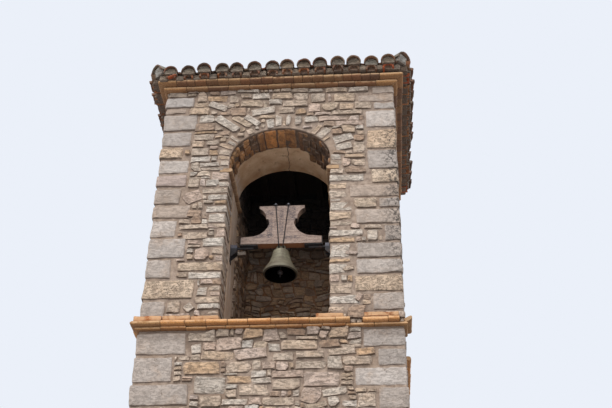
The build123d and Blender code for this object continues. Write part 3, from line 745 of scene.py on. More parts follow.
# Marked stones on the front: middle across and up, width, height, tint, and a turn in degrees where
# a stone leans.
MARKED_STONES = [
    (-0.77, 10.04, 0.24, 0.10, "ochre"), (-0.56, 10.02, 0.12, 0.11, "beige"),
    (-0.23, 10.06, 0.22, 0.10, "pale"), (0.03, 10.05, 0.25, 0.11, "yellow"),
    (0.27, 10.03, 0.18, 0.11, "beige"), (0.48, 10.00, 0.18, 0.14, "beige"),
    (0.62, 10.00, 0.04, 0.13, "pink"), (0.81, 9.99, 0.26, 0.13, "yellow"),
    (0.45, 10.125, 0.17, 0.06, "pale"), (0.70, 10.12, 0.26, 0.07, "yellow"),
    (0.98, 10.115, 0.25, 0.08, "pale"), (-0.76, 9.91, 0.24, 0.10, "pale", -25),
    (-0.34, 9.94, 0.28, 0.11, "yellow"), (-0.05, 9.95, 0.17, 0.08, "pale"),
    (0.20, 9.91, 0.31, 0.10, "beige"), (0.63, 9.84, 0.19, 0.13, "yellow"),
    (0.83, 9.85, 0.17, 0.11, "yellow"), (1.03, 9.85, 0.20, 0.11, "beige"),
    (-0.98, 9.84, 0.25, 0.12, "yellow"), (-0.50, 9.81, 0.20, 0.13, "brown"),
    (-0.20, 9.81, 0.30, 0.11, "pale", 8), (0.09, 9.81, 0.20, 0.10, "beige"),
    (0.27, 9.78, 0.12, 0.09, "ochre"), (0.43, 9.83, 0.14, 0.13, "pink"),
    (0.83, 9.74, 0.38, 0.07, "beige"), (-0.63, 9.62, 0.36, 0.10, "pale", -40),
    (-0.45, 9.66, 0.28, 0.09, "yellow", -36), (-0.32, 9.66, 0.22, 0.08, "pale", -38),
    (0.0, 9.65, 0.08, 0.17, "pale"), (0.12, 9.66, 0.06, 0.17, "pale"), (0.24, 9.64, 0.09, 0.14, "grey"),
    (0.40, 9.65, 0.17, 0.09, "pale", 8), (0.78, 9.34, 0.24, 0.11, "pale", 16),
    (0.79, 9.21, 0.20, 0.10, "pale", 10), (1.10, 7.93, 0.12, 0.15, "pale"),
    (0.91, 8.05, 0.07, 0.10, "pink", 70), (0.86, 7.70, 0.05, 0.15, "pink", 80),
    (0.83, 7.50, 0.06, 0.12, "beige", 105), (0.78, 7.372, 0.06, 0.08, "pale"),
    (0.93, 7.13, 0.10, 0.06, "pink", 60), (-0.90, 9.58, 0.23, 0.12, "brown"),
    (-0.90, 9.42, 0.24, 0.10, "beige"), (-0.93, 9.19, 0.22, 0.12, "beige"),
    (-0.97, 8.74, 0.13, 0.15, "beige"), (-0.75, 8.73, 0.15, 0.10, "pale"),
    (-0.97, 8.53, 0.21, 0.16, "pink", 25), (-0.93, 8.29, 0.16, 0.11, "brown"),
    (-0.92, 8.10, 0.34, 0.07, "beige"), (-0.90, 7.98, 0.28, 0.10, "beige"),
    (-0.86, 8.11, 0.42, 0.045, "pink"), (-0.90, 8.20, 0.12, 0.11, "brown"),
    (-0.80, 7.73, 0.16, 0.16, "pink"), (-0.76, 7.25, 0.11, 0.11, "pale"),
    (-0.72, 7.37, 0.13, 0.07, "pink"), (-0.70, 7.06, 0.20, 0.07, "pale", 3),
    (-0.89, 7.045, 0.10, 0.10, "pale", 40), (-1.06, 7.06, 0.16, 0.15, "beige"),
    (-0.77, 6.55, 0.11, 0.11, "pale", 8), (-0.43, 6.60, 0.26, 0.15, "pink"),
    (-0.19, 6.48, 0.34, 0.12, "pink", 6), (0.14, 6.44, 0.21, 0.09, "beige"),
    (0.31, 6.57, 0.39, 0.11, "yellow"), (0.05, 6.55, 0.13, 0.10, "pale"),
    (0.42, 6.46, 0.28, 0.08, "beige"), (0.75, 6.49, 0.28, 0.08, "beige", 5),
    (0.91, 6.38, 0.30, 0.10, "beige", 3), (-0.31, 6.33, 0.25, 0.12, "beige"),
    (-0.70, 6.33, 0.38, 0.16, "ochre"), (-0.61, 6.13, 0.33, 0.18, "grey"),
    (-0.30, 6.19, 0.24, 0.08, "ochre"), (-0.10, 6.25, 0.16, 0.08, "pale"),
    (0.55, 6.18, 0.37, 0.16, "pink"), (0.43, 6.34, 0.32, 0.09, "beige"),
    (0.18, 6.13, 0.27, 0.12, "beige"), (-0.15, 6.07, 0.30, 0.12, "beige"),
    (0.67, 6.04, 0.25, 0.09, "pale", 8), (-0.58, 5.95, 0.22, 0.12, "beige"),
    (0.11, 5.94, 0.32, 0.09, "beige"), (-0.33, 5.94, 0.26, 0.07, "pale"),
]


# The arch: straight for a short way above the imposts, then a three-centred curve.
STILT = 0.125
HAUNCH_RADIUS = 0.40
arch_half = (jamb_right - jamb_left) / 2
arch_foot = spring + STILT
arch_rise = arch_top - arch_foot
haunch_reach = arch_half - HAUNCH_RADIUS
haunch_lift = arch_rise - HAUNCH_RADIUS
crown_drop = (haunch_reach**2 - haunch_lift**2) / (2 * haunch_lift)
crown_radius = arch_rise + crown_drop
haunch_turn = atan2(crown_drop, haunch_reach)
haunch_run = STILT + HAUNCH_RADIUS * haunch_turn
arch_run = 2 * haunch_run + crown_radius * (pi - 2 * haunch_turn)


def arch_at(run):
    """The point this far along the arch's edge from its left foot, and the way into the opening there."""
    side = 1
    if run > arch_run / 2:
        run = arch_run - run
        side = -1
    if run < STILT:
        x, z, turn = -arch_half, spring + run, 0.0
    elif run < haunch_run:
        turn = (run - STILT) / HAUNCH_RADIUS
        x = -haunch_reach - HAUNCH_RADIUS * cos(turn)
        z = arch_foot + HAUNCH_RADIUS * sin(turn)
    else:
        turn = haunch_turn + (run - haunch_run) / crown_radius
        x = -crown_radius * cos(turn)
        z = arch_foot - crown_drop + crown_radius * sin(turn)
    return opening_middle + side * x, z, side * cos(turn), -sin(turn)


def claim(run, level, width, height, turn):
    """The boxes that a stone takes up on its face: one where it lies level, several where it leans."""
    if abs(turn) < radians(15):
        return [(run - width / 2, level - height / 2, run + width / 2, level + height / 2)]
    boxes = []
    count = max(2, round(1.6 * width / height))
    reach = height / 2 * (abs(cos(turn)) + abs(sin(turn))) * 0.8
    for step in np.linspace(-0.5, 0.5, count) * (width - height):
        x, z = run + step * cos(turn), level + step * sin(turn)
        boxes.append((x - reach, z - reach, x + reach, z + reach))
    return boxes


rng = np.random.default_rng(7)
heap = Heap()
marked = []
for run, level, width, height, tint_name, *turn in MARKED_STONES:
    angle = radians(turn[0]) if turn else 0.0
    outline = stone_outline(rng, run, level, width, height, angle)
    relief = rng.uniform(0.014, 0.03)
    lay_stone(heap, rng, FACES["front"], outline, relief, vary(rng, STONE_TINTS[tint_name], 0.04))
    marked += claim(run, level, width, height, angle)
taken["front"] += marked

# Stones round the arch point at its middle, their lengths drawn at random.
ARCH_END = 0.03
ARCH_GAP = 0.004
run = ARCH_END
while run < arch_run - ARCH_END:
    width = rng.uniform(0.045, 0.11)
    x, z, into_x, into_z = arch_at(run + width / 2)
    length = rng.uniform(0.09, 0.19)
    away = length / 2 + ARCH_GAP
    middle = (x - into_x * away, z - into_z * away)
    turn = atan2(into_z, into_x)
    boxes = claim(*middle, length, width, turn)
    if not near(np.array(boxes)[:, None], np.array(marked)[None], ARCH_GAP).any():
        outline = stone_outline(rng, *middle, length, width - 0.012, turn)
        tint = vary(rng, STONE_TINTS[rng.choice(["pale", "beige", "grey", "yellow"])])
        lay_stone(heap, rng, FACES["front"], outline, rng.uniform(0.006, 0.015), tint)
        taken["front"] += boxes
    run += width
opening = [(jamb_left - 0.02, sill - 0.02, jamb_right + 0.02, spring + 0.03)]
for run in np.linspace(0, arch_run, 60):
    x, z, into_x, into_z = arch_at(run)
    low, high = sorted((x - into_x * 0.02, opening_middle))
    opening.append((low, spring, high, z - into_z * 0.02))
taken["front"] += opening
bands = {name: [(-FACE_HALF[name], string_low, FACE_HALF[name], sill)] for name in FACES}
for number, (name, face) in enumerate(FACES.items()):
    if number:
        heap = Heap()
    rng = np.random.default_rng(20 + number)
    half = FACE_HALF[name]
    stones = pack_rubble(rng, -half, half, 0.0, wall_top, taken[name] + bands[name])
    lay_rubble(heap, rng, face, stones, taken[name], fine=name == "front", seed=10.0 * number)
    heap.build(f"rubble_{name}", stone_material)

# Soffit of the arch: the undersides of its voussoirs, rough brown stone laid bare in the outer part
# of the reveal, where the plaster has fallen: long ones at the crown, small broken ones at the haunches.
# Each row has its ends along the arch, its front and back edge behind the wall's face, and its widths.
plaster_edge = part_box("arch_plaster")[0].y
chamber_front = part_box("arch_plaster")[1].y
SOFFIT_TINTS = [(214, 152, 96), (188, 132, 84), (154, 112, 80), (224, 166, 110), (130, 100, 76)]
LEFT_HAUNCH, RIGHT_HAUNCH = 0.34 * arch_run, 0.64 * arch_run
SOFFIT_ROWS = (
    (0.0, LEFT_HAUNCH, -0.004, 0.16, (0.05, 0.11)),
    (0.0, LEFT_HAUNCH, 0.165, 0.29, (0.06, 0.12)),
    (0.0, LEFT_HAUNCH, 0.295, 0.385, (0.05, 0.10)),
    (LEFT_HAUNCH, RIGHT_HAUNCH, -0.004, 0.385, (0.07, 0.16)),
    (RIGHT_HAUNCH, arch_run, -0.004, 0.14, (0.05, 0.10)),
    (RIGHT_HAUNCH, arch_run, 0.145, 0.27, (0.05, 0.11)),
    (RIGHT_HAUNCH, arch_run, 0.275, 0.40, (0.05, 0.11)),
    (RIGHT_HAUNCH + 0.08, arch_run, 0.405, 0.56, (0.06, 0.11)),
)
SOFFIT_THICKNESS = 0.11
rng = np.random.default_rng(31)
heap = Heap()
for run, row_end, first, last, width_range in SOFFIT_ROWS:
    while run < row_end - 0.02:
        width = min(rng.uniform(*width_range), row_end - run)
        x, z, into_x, into_z = arch_at(run + width / 2)
        front = front_y + first + (rng.uniform(0.030, 0.058) if first < 0 else rng.uniform(-0.02, 0.01))
        back = front_y + last + rng.uniform(-0.03, 0.02)
        dim = 0.6 if run > RIGHT_HAUNCH else 1.0
        away = SOFFIT_THICKNESS / 2 - rng.uniform(0.012, 0.036)
        middle = (x - into_x * away, (front + back) / 2, z - into_z * away)
        axes = np.array(((-into_z, 0, into_x), (0, 1, 0), (into_x, 0, into_z)))
        tint = toned(draw(rng, SOFFIT_TINTS, 0.16), dim, dim, dim)
        size = (width - 0.011, back - front, SOFFIT_THICKNESS)
        lay_block(heap, rng, middle, axes, size, 0.012, 0.012, tint, cell=0.04, skew=0.08)
        run += width
heap.build("arch_soffit_stones", soffit_material)

# Plaster: a thin grey-pink lime coat on the inner part of the reveal. Its front edge is ragged,
# and a crack runs through it near the crown of the arch.
def lay_coat(heap, middle, out, thick, tint):
    """A closed coat over a grid of points: out is the way it faces at each."""
    rows, columns = middle.shape[:2]
    points = [*middle.reshape(-1, 3), *(middle - out * thick).reshape(-1, 3)]
    under = rows * columns
    faces = []
    for i in range(rows - 1):
        for j in range(columns - 1):
            a = i * columns + j
            b, c, d = a + columns, a + columns + 1, a + 1
            faces += [(a, b, c, d), (under + d, under + c, under + b, under + a)]
    edge = [i * columns for i in range(rows)]
    edge += [(rows - 1) * columns + j for j in range(1, columns)]
    edge += [i * columns + columns - 1 for i in range(rows - 2, -1, -1)]
    edge += range(columns - 2, 0, -1)
    for a, b in zip(edge, edge[1:] + edge[:1]):
        faces.append((b, a, under + a, under + b))
    heap.add(points, faces, tint, [0.0] * len(points))


def ragged(place, seed, reach=0.03):
    """How far a broken edge strays at a place along it."""
    stray = noise.noise(Vector((place * 9, seed, 0))) + 0.5 * noise.noise(Vector((place * 31, seed, 5)))
    return reach * stray


COAT_PROUD = 0.005
COAT_SWELL = 0.004
COAT_THICKNESS = 0.020
COAT_DEPTHS = 14  # points from the coat's ragged edge to its back
ARCH_STEPS = 44
JAMB_STEPS = 60
CRACK_HALF = 0.0045
FALLEN_FROM = 0.62  # the share of the arch from which the plaster has fallen further back
heap = Heap()
crack = arch_run / 2 + 0.045
for side, (start, end) in enumerate(((0.0, crack), (crack, arch_run))):
    grid = np.zeros((ARCH_STEPS, COAT_DEPTHS, 3))
    out = np.zeros_like(grid)
    for i, along in enumerate(np.linspace(start, end, ARCH_STEPS)):
        right_side = max(0.0, (along / arch_run - FALLEN_FROM) / 0.38)
        front = plaster_edge + ragged(along, 3) + 0.20 * min(1.0, right_side * 2)
        for j, depth in enumerate(np.linspace(front, chamber_front - 0.002, COAT_DEPTHS)):
            run = along
            if along == crack:
                run += (CRACK_HALF if side else -CRACK_HALF) + ragged(depth, 11, 0.035)
            x, z, into_x, into_z = arch_at(run)
            swell = COAT_PROUD + COAT_SWELL * noise.noise(Vector((x * 5, depth * 5, z * 5)))
            if j == 0:
                swell -= 0.003
            grid[i, j] = (x + into_x * swell, depth, z + into_z * swell)
            out[i, j] = (into_x, 0, into_z)
    lay_coat(heap, grid, out, COAT_THICKNESS, STONE_TINTS["pink"])
plaster_material, shade = new_material("old_plaster")
cloud = shade.noise(5, 5, 0.65)
sand = shade.noise(120, 3)
run_down = shade.noise(9, 5, 0.65, (2.2, 2.2, 0.25))
lost = shade.noise(14, 5, 0.75).fade(0.6, 0.66)
upright = shade.axes(FACING)[ACROSS]
upright = (upright * upright).fade(0.7, 0.98)
base = coats(
    (cloud * 0.7 + sand * 0.3).fade(0.3, 0.75).mix(colour(176, 138, 104), colour(216, 184, 150)),
    (shade.noise(3.1, 4).fade(0.45, 0.7) * 0.5, 164, 118, 76),
    (upright * 0.45, 206, 188, 170),
    (run_down.fade(0.45, 0.7) * upright * 0.6, 226, 218, 210),
    (lost * 0.6, 126, 96, 68),
)
surface(plaster_material, base, 0.9, shade.bump(cloud + sand * 0.1 - lost * 0.35, 0.012, 0.7))
arch_coat = heap.build("arch_plaster_coat", plaster_material)
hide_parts("arch_plaster")

JAMBS = {
    "left": Face((jamb_left, 0, 0), (0, 1, 0), (1, 0, 0)),
    "right": Face((jamb_right, 0, 0), (0, -1, 0), (-1, 0, 0)),
}
heap = Heap()
impost_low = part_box("imposts")[0].z
for side, face in JAMBS.items():
    heights = np.linspace(sill + 0.001, impost_low - 0.001, JAMB_STEPS)
    grid = np.zeros((COAT_DEPTHS, JAMB_STEPS, 3))
    for j, level in enumerate(heights):
        front = plaster_edge + ragged(level, 17 if side == "left" else 23)
        depths = np.linspace(front, chamber_front - 0.002, COAT_DEPTHS)
        if side == "right":
            depths = -depths[::-1]
        for i, run in enumerate(depths):
            swell = COAT_PROUD + COAT_SWELL * noise.noise(Vector((run * 5, level * 5, 3)))
            grid[i, j] = face.place(run, level, swell)
    lay_coat(heap, grid, np.broadcast_to(face.out, grid.shape), COAT_THICKNESS, STONE_TINTS["pink"])
jamb_coat = heap.build("jamb_plaster_coat", plaster_material)
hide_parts("jamb_plaster")

# Bell chamber: bare rubble inside, browner and rougher than outside, never pointed or washed by rain.
CHAMBER_MIX = ["brown"] * 3 + ["ochre"] * 5 + ["beige"] * 3 + ["yellow"] * 2
chamber_low, chamber_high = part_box("ceiling_boards")
chamber_faces = {
    "back": (Face((0, chamber_high.y, 0), (1, 0, 0), (0, -1, 0)), chamber_low.x, chamber_high.x),
    "left": (Face((chamber_low.x, 0, 0), (0, 1, 0), (1, 0, 0)), chamber_low.y, chamber_high.y),
    "right": (Face((chamber_high.x, 0, 0), (0, -1, 0), (-1, 0, 0)), -chamber_high.y, -chamber_low.y),
}
joist_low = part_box("ceiling_joists")[0].z
for number, (name, (face, left, right)) in enumerate(chamber_faces.items()):
    rng = np.random.default_rng(50 + number)
    heap = Heap()
    stones = pack_rubble(rng, left, right, sill, joist_low - 0.01, [], 0.16, (0.06, 0.13), 0.006)
    lay_rubble(heap, rng, face, stones, [], (0.006, 0.034), name == "back", CHAMBER_MIX, 50.0)
    if name == "left":  # one pale stone stands out of this wall as a ledge
        ledge = Heap()
        middle = ((chamber_low.x + jamb_left) / 2 + 0.03, chamber_low.y + 0.035, sill + 1.44)
        size = (jamb_left - chamber_low.x + 0.20, 0.055, 0.06)
        lay_block(ledge, rng, middle, UPRIGHT, size, 0.010, 0.006, STONE_TINTS["pale"], cell=0.04)
        ledge.build("chamber_ledge_stone", stone_material)
    heap.build(f"chamber_rubble_{name}", chamber_material)


# Moulded bricks: half-round noses of hard-fired orange and brown clay, laid dry-looking with thin
# joints. The cornice has stretchers below and headers above, and mitred bricks turn its corners.
BRICK_TINTS = [(156, 112, 72), (143, 98, 60), (132, 87, 56), (164, 122, 79), (120, 82, 56), (149, 105, 67)]
STRING_TINTS = [(202, 138, 76), (188, 126, 68), (206, 148, 88), (172, 116, 64)]
UPPER_STRING_TINTS = [(230, 164, 94), (216, 150, 84), (234, 172, 108), (202, 142, 82)]
IMPOST_TINTS = [(196, 164, 128), (182, 148, 112)]
CORNER_TINT = (184, 136, 84)
BRICK_GAP = 0.0022
EASED = 0.004  # how far from its ends a brick's edges are eased
SHRINK = 0.003  # and by how much


def lay_nosed_bricks(
    heap, rng, face, start, end, low, high, out, pitch,
    mitres=(0, 0), back=0.05, worn=0.004, tints=BRICK_TINTS,
):
    """A course of half-round nosed bricks along a face. A mitre of 1 lengthens an end with its depth."""
    radius = (high - low) / 2
    middle = (low + high) / 2
    profile = [(-back, low)]
    for angle in np.linspace(-pi / 2, pi / 2, 9):
        profile.append((out - radius + radius * cos(angle), middle + radius * sin(angle)))
    profile.append((-back, high))
    joints = [start]
    while joints[-1] < end - pitch * 1.4:
        joints.append(joints[-1] + pitch * rng.uniform(0.8, 1.25))
    joints.append(end)
    for first, last in zip(joints, joints[1:]):
        count = max(2, int(ceil((last - first) / 0.06)))
        runs = [first + BRICK_GAP, first + BRICK_GAP + EASED, *np.linspace(first, last, count + 1)[1:-1]]
        runs += [last - BRICK_GAP - EASED, last - BRICK_GAP]
        lift = rng.normal(0, 0.0015)
        forward = rng.normal(0, 0.002)
        seed = rng.uniform(0, 90)
        points = []
        rims = []
        for i, run in enumerate(runs):
            tip = i in (0, len(runs) - 1)
            shrink = SHRINK if tip else 0.0
            for depth, level in profile:
                stray = 0.0
                if depth >= 0:
                    wear = worn * noise.noise(Vector((run * 14, level * 30, seed)))
                    wear += worn * 0.6 * noise.noise(Vector((run * 45, level * 60, seed)))
                    stray = wear + forward - shrink
                level_out = middle + (level - middle) * (1 - shrink / radius) + lift
                slide = 0.0
                if first == start:
                    slide -= mitres[0] * depth * (last - run) / (last - first)
                if last == end:
                    slide += mitres[1] * depth * (run - first) / (last - first)
                points.append(face.place(run + slide, level_out, depth + stray))
                rims.append(0.8 if tip else 0.1)
        size = len(profile)
        faces = []
        for i in range(len(runs) - 1):
            for j in range(size):
                a, b = i * size + j, i * size + (j + 1) % size
                faces.append((a, a + size, b + size, b))
        faces.append(tuple(range(size)))
        last_ring = (len(runs) - 1) * size
        faces.append(tuple(last_ring + j for j in range(size - 1, -1, -1)))
        tint = tints[rng.integers(len(tints))]
        if (mitres[0] and first == start) or (mitres[1] and last == end):
            tint = CORNER_TINT
        heap.add(points, faces, vary(rng, colour(*tint), 0.09), rims)


def brick_ring(name, nodes, rng, pitch, broken=None, tints=BRICK_TINTS):
    """The same course on all four sides, mitred at the corners. A broken face has its stretches given."""
    heap = Heap()
    low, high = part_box(nodes[-1])
    out = high.x - half_width
    for face_name, face in FACES.items():
        half = FACE_HALF[face_name]
        stretches = (broken or {}).get(face_name, [(-half, half, 1, 1)])
        for start, end, *mitres in stretches:
            lay_nosed_bricks(heap, rng, face, start, end, low.z, high.z, out, pitch, mitres, tints=tints)
    piece = heap.build(name, brick_material)
    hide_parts(*nodes)


brick_material, shade = new_material("moulded_brick")
grain = shade.noise(70, 5, 0.65)
burn = shade.noise(6, 4, 0.6).fade(0.5, 0.75)
lime = shade.noise(13, 5, 0.75).fade(0.56, 0.72)
dark = shade.noise(30, 4, 0.7).fade(0.58, 0.7)
upward = shade.axes(FACING)[UP]
# Painted highlight: faces that point up are paler, as if lit from above.
top_highlight = upward.fade(-0.5, 0.0) * shade.noise(9, 4, 0.6).fade(0.3, 0.5)
base = grain.fade(0.25, 0.8).mix(colour(176, 160, 150), colour(255, 255, 255))
base = coats(
    base.tinted(shade.tint()),
    (burn * 0.35, 112, 66, 46),
    (lime * 0.3, 206, 180, 152),
    (dark * 0.3, 70, 54, 46),
    (top_highlight * 0.5, 234, 194, 148),
    # Painted shade: faces that point down are darker.
    (upward.fade(-0.45, -0.9) * 0.5, 84, 56, 36),
    (shade.rim() * 0.4, 110, 86, 68),
)
surface(brick_material, base, 0.88, shade.bump(grain * 0.8 - dark * 0.4, 0.006, 0.8))

rng = np.random.default_rng(61)
for name, pitch in (("cornice_lower", 0.235), ("cornice_upper", 0.118)):
    brick_ring(f"{name}_bricks", [f"{name}_front_and_back", f"{name}_sides"], rng, pitch)

# String course: two courses of the same bricks under the sill. The upper one is broken away in two
# places on the front and both on the right side, and flat tiles bedded on it survive in three.
SIDE_BREAK = (-0.96, -0.36)
FRONT_BREAK = (0.84, 0.97)
CORNER_BREAK = 1.357
side_break = {"right": [(-half_depth, SIDE_BREAK[0], 1, 0), (SIDE_BREAK[1], half_depth, 0, 1)]}
nodes = ["string_lower_front_and_back", "string_lower_sides"]
brick_ring("string_lower_bricks", nodes, rng, 0.24, side_break, STRING_TINTS)
breaks = {"front": [(-half_width, FRONT_BREAK[0], 1, 0), (FRONT_BREAK[1], CORNER_BREAK, 0, 0)], **side_break}
nodes = ["string_upper_front", "string_upper_back", "string_upper_sides"]
brick_ring("string_upper_bricks", nodes, rng, 0.23, breaks, UPPER_STRING_TINTS)

CAP_TILE_TINT = (172, 104, 50)
heap = Heap()
cap_low, cap_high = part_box("string_cap_tiles")
cap_depth = -cap_low.y + front_y + 0.04
cap_thickness = cap_high.z - cap_low.z
for start, end in ((-1.462, -0.545), (0.477, 0.776), (0.982, 1.354)):
    count = max(1, round((end - start) / 0.27))
    joints = np.linspace(start, end, count + 1)
    for first, last in zip(joints, joints[1:]):
        size = (last - first - 0.006, cap_depth, cap_thickness + rng.uniform(-0.006, 0.002))
        y = cap_low.y + size[1] / 2 + rng.uniform(0, 0.012)
        middle = ((first + last) / 2, y, cap_low.z + size[2] / 2)
        tint = vary(rng, colour(*CAP_TILE_TINT), 0.1)
        lay_block(heap, rng, middle, UPRIGHT, size, 0.008, 0.007, tint, cell=0.03)
cap_tiles = heap.build("string_cap_tile_pieces", brick_material)
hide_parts("string_cap_tiles")

# Bits of stone where the upper course has broken away: middle across and up, width, height, and how
# far each stands out of the wall.
BROKEN_BITS = (
    (0.875, 6.832, 0.06, 0.045, 0.03), (0.935, 6.838, 0.065, 0.05, 0.022),
    (0.905, 6.86, 0.09, 0.02, 0.015), (1.385, 6.835, 0.04, 0.045, 0.03), (1.425, 6.84, 0.05, 0.04, 0.012),
)
heap = Heap()
for x, z, width, height, reach in BROKEN_BITS:
    size = (width, 0.10, height)
    middle = (x, front_y - reach + size[1] / 2, z)
    lay_block(heap, rng, middle, UPRIGHT, size, 0.014, 0.010, STONE_TINTS["beige"], cell=0.03)
break_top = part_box("string_upper_sides")[1].z + 0.02
stones = pack_rubble(rng, SIDE_BREAK[0] + 0.01, SIDE_BREAK[1] - 0.01, string_low - 0.01, break_top, [])
lay_rubble(heap, rng, FACES["right"], stones, seed=6.0, fine=False)
heap.build("string_break_rubble", stone_material)

# Imposts: bricks on edge across each reveal, with their noses into the opening, under the arch's feet.
heap = Heap()
low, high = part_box("imposts")
for side, face in JAMBS.items():
    ends = (low.y, high.y) if side == "left" else (-high.y, -low.y)
    lay_nosed_bricks(
        heap, rng, face, *ends, low.z, high.z, 0.05, 0.125, back=0.10, worn=0.006, tints=IMPOST_TINTS
    )
impost_bricks = heap.build("impost_bricks", brick_material)
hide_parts("imposts")


# Roof: old barrel tiles in mortar. Channels lie hollow side up, covers ride over their edges, and the
# covers at the eaves are doubled, with their mouths plugged. Hips and ridge have larger covers.
TILE_TINTS = [(150, 134, 116), (132, 116, 100), (160, 138, 112)]
TILE_TINTS += [(146, 112, 88), (124, 108, 96), (172, 152, 130)]
FRESH_TINTS = [(206, 112, 50), (196, 104, 54)]
UNDER_TINTS = [(186, 132, 86), (166, 120, 82), (142, 112, 88), (194, 144, 98), (154, 124, 98)]
TILE_RINGS = (0.0, 0.04, 0.35, 0.7, 1.0)  # shares of a tile's length


def lay_tile(heap, rng, foot, up, across, radii, length, tint, hollow=1, thick=0.014, spread=84, arcs=12):
    """A tapered half-round tile from its foot up the slope. Hollow is 1 for a cover and -1 for a channel."""
    normal = np.cross(across, up)
    seed = rng.uniform(0, 90)
    points = []
    rims = []
    for layer in (0, thick):
        for share in TILE_RINGS:
            radius = radii[0] + (radii[1] - radii[0]) * share - layer
            for angle in np.linspace(-radians(spread), radians(spread), arcs + 1):
                warp = 1 + 0.03 * noise.noise(Vector((share * 3, angle * 1.5, seed)))
                side = radius * sin(angle) * warp
                rise = radius * cos(angle) * warp * hollow
                chip = 0.010 * noise.noise(Vector((angle * 3, seed, 0))) if share == 0.0 else 0.0
                points.append(foot + up * (length * share + chip) + across * side + normal * rise)
                rims.append(1.0 if share < 0.03 else 0.0)
    size = arcs + 1
    steps = len(TILE_RINGS) - 1
    inner = len(TILE_RINGS) * size
    faces = []
    for i in range(steps):
        for j in range(arcs):
            a = i * size + j
            quad = (a, a + 1, a + size + 1, a + size)
            turned = tuple(inner + k for k in reversed(quad))
            faces += [quad, turned] if hollow > 0 else [quad[::-1], turned[::-1]]
    for j in range(arcs):
        for a, flip in ((j, 1), (steps * size + j, -1)):
            quad = (a, inner + a, inner + a + 1, a + 1)
            faces.append(quad[:: flip * hollow])
    for i in range(steps):
        for a, flip in ((i * size, -1), (i * size + arcs, 1)):
            quad = (a, inner + a, inner + a + size, a + size)
            faces.append(quad[:: flip * hollow])
    heap.add(points, faces, tint, rims)


ROOF_PITCH = radians(17)
ROOF_TILT = 0.0215  # the eaves climb a little towards the right
TILE_PITCH = 0.2085
TILE_LENGTH = 0.42
EXPOSED = 0.30
COVER_LIFT = 0.024
CHANNEL_LIFT = 0.104
COVER_RADII = (0.091, 0.073)  # at the foot and at the head
CHANNEL_RADII = (0.078, 0.088)
UNDER_RADIUS = 0.066  # of the short tiles under the covers at the eaves
UNDER_LENGTH = 0.18
MOUTH_RADIUS = 0.078
MORTAR_HEIGHT = 0.034  # of the middle of the mortar under the channels, above the roof's bed
SIDE_REACH = {"front": 0.0, "right": 0.05, "back": 0.0, "left": 0.05}
FRESH = {("front", 26), ("right", 0), ("right", 22), ("left", 4), ("back", 8)}  # the least weathered tiles
roof_half = {"front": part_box("roof_front_slope")[1].x, "right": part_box("roof_right_slope")[1].y}
roof_half["back"], roof_half["left"] = roof_half["front"], roof_half["right"]
eave_reach = roof_half["front"] - half_width
eave_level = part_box("roof_front_slope")[0].z
bed_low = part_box("eaves_tile_course_sides")[0].z


def raised(point, lift):
    """A point of the roof, lifted along with the tilt of its eaves."""
    return point + np.array((0, 0, lift + ROOF_TILT * point[0]))


def lay_eaves_tile(heap, plugs, rng, face, place, reach, mouth, tint, slant):
    """The short tile under a cover at the eaves, and the mortar that closes both their mouths."""
    turn = rng.normal(0, 0.03)
    along = face.across * cos(turn) + face.out * sin(turn)
    inward = face.across * sin(turn) - face.out * cos(turn)
    across = along * cos(slant) + np.array((0, 0, sin(slant)))
    level = bed_low + 0.016 + rng.uniform(0, 0.006)
    foot = face.place(place, level, reach - 0.034 + rng.uniform(-0.012, 0.008))
    foot = foot + np.array((0, 0, 0.6 * ROOF_TILT * foot[0]))
    radius = UNDER_RADIUS + 0.004 * foot[0]
    radii = (radius, radius - 0.005)
    lay_tile(heap, rng, foot, inward, across, radii, UNDER_LENGTH, tint, thick=0.022, spread=102)
    # The plug in the under-tile's mouth, set deeper, is tinted dark brown as painted shade.
    mouths = (
        (mouth, MOUTH_RADIUS, 0.020, vary(rng, colour(150, 138, 120), 0.16)),
        (foot[2], radius - 0.018, 0.066, vary(rng, colour(104, 76, 56), 0.16)),
    )
    for level, radius, back, plug_tint in mouths:
        origin = face.origin + face.out * (reach - back + rng.uniform(-0.012, 0.004))
        plane = Face(origin, face.across, face.out)
        arc = np.linspace(-0.25, pi + 0.25, 14)
        outline = np.column_stack((place + radius * np.cos(arc), level + radius * np.sin(arc)))
        lay_stone(plugs, rng, plane, outline, 0.006, plug_tint, sunk=0.10)


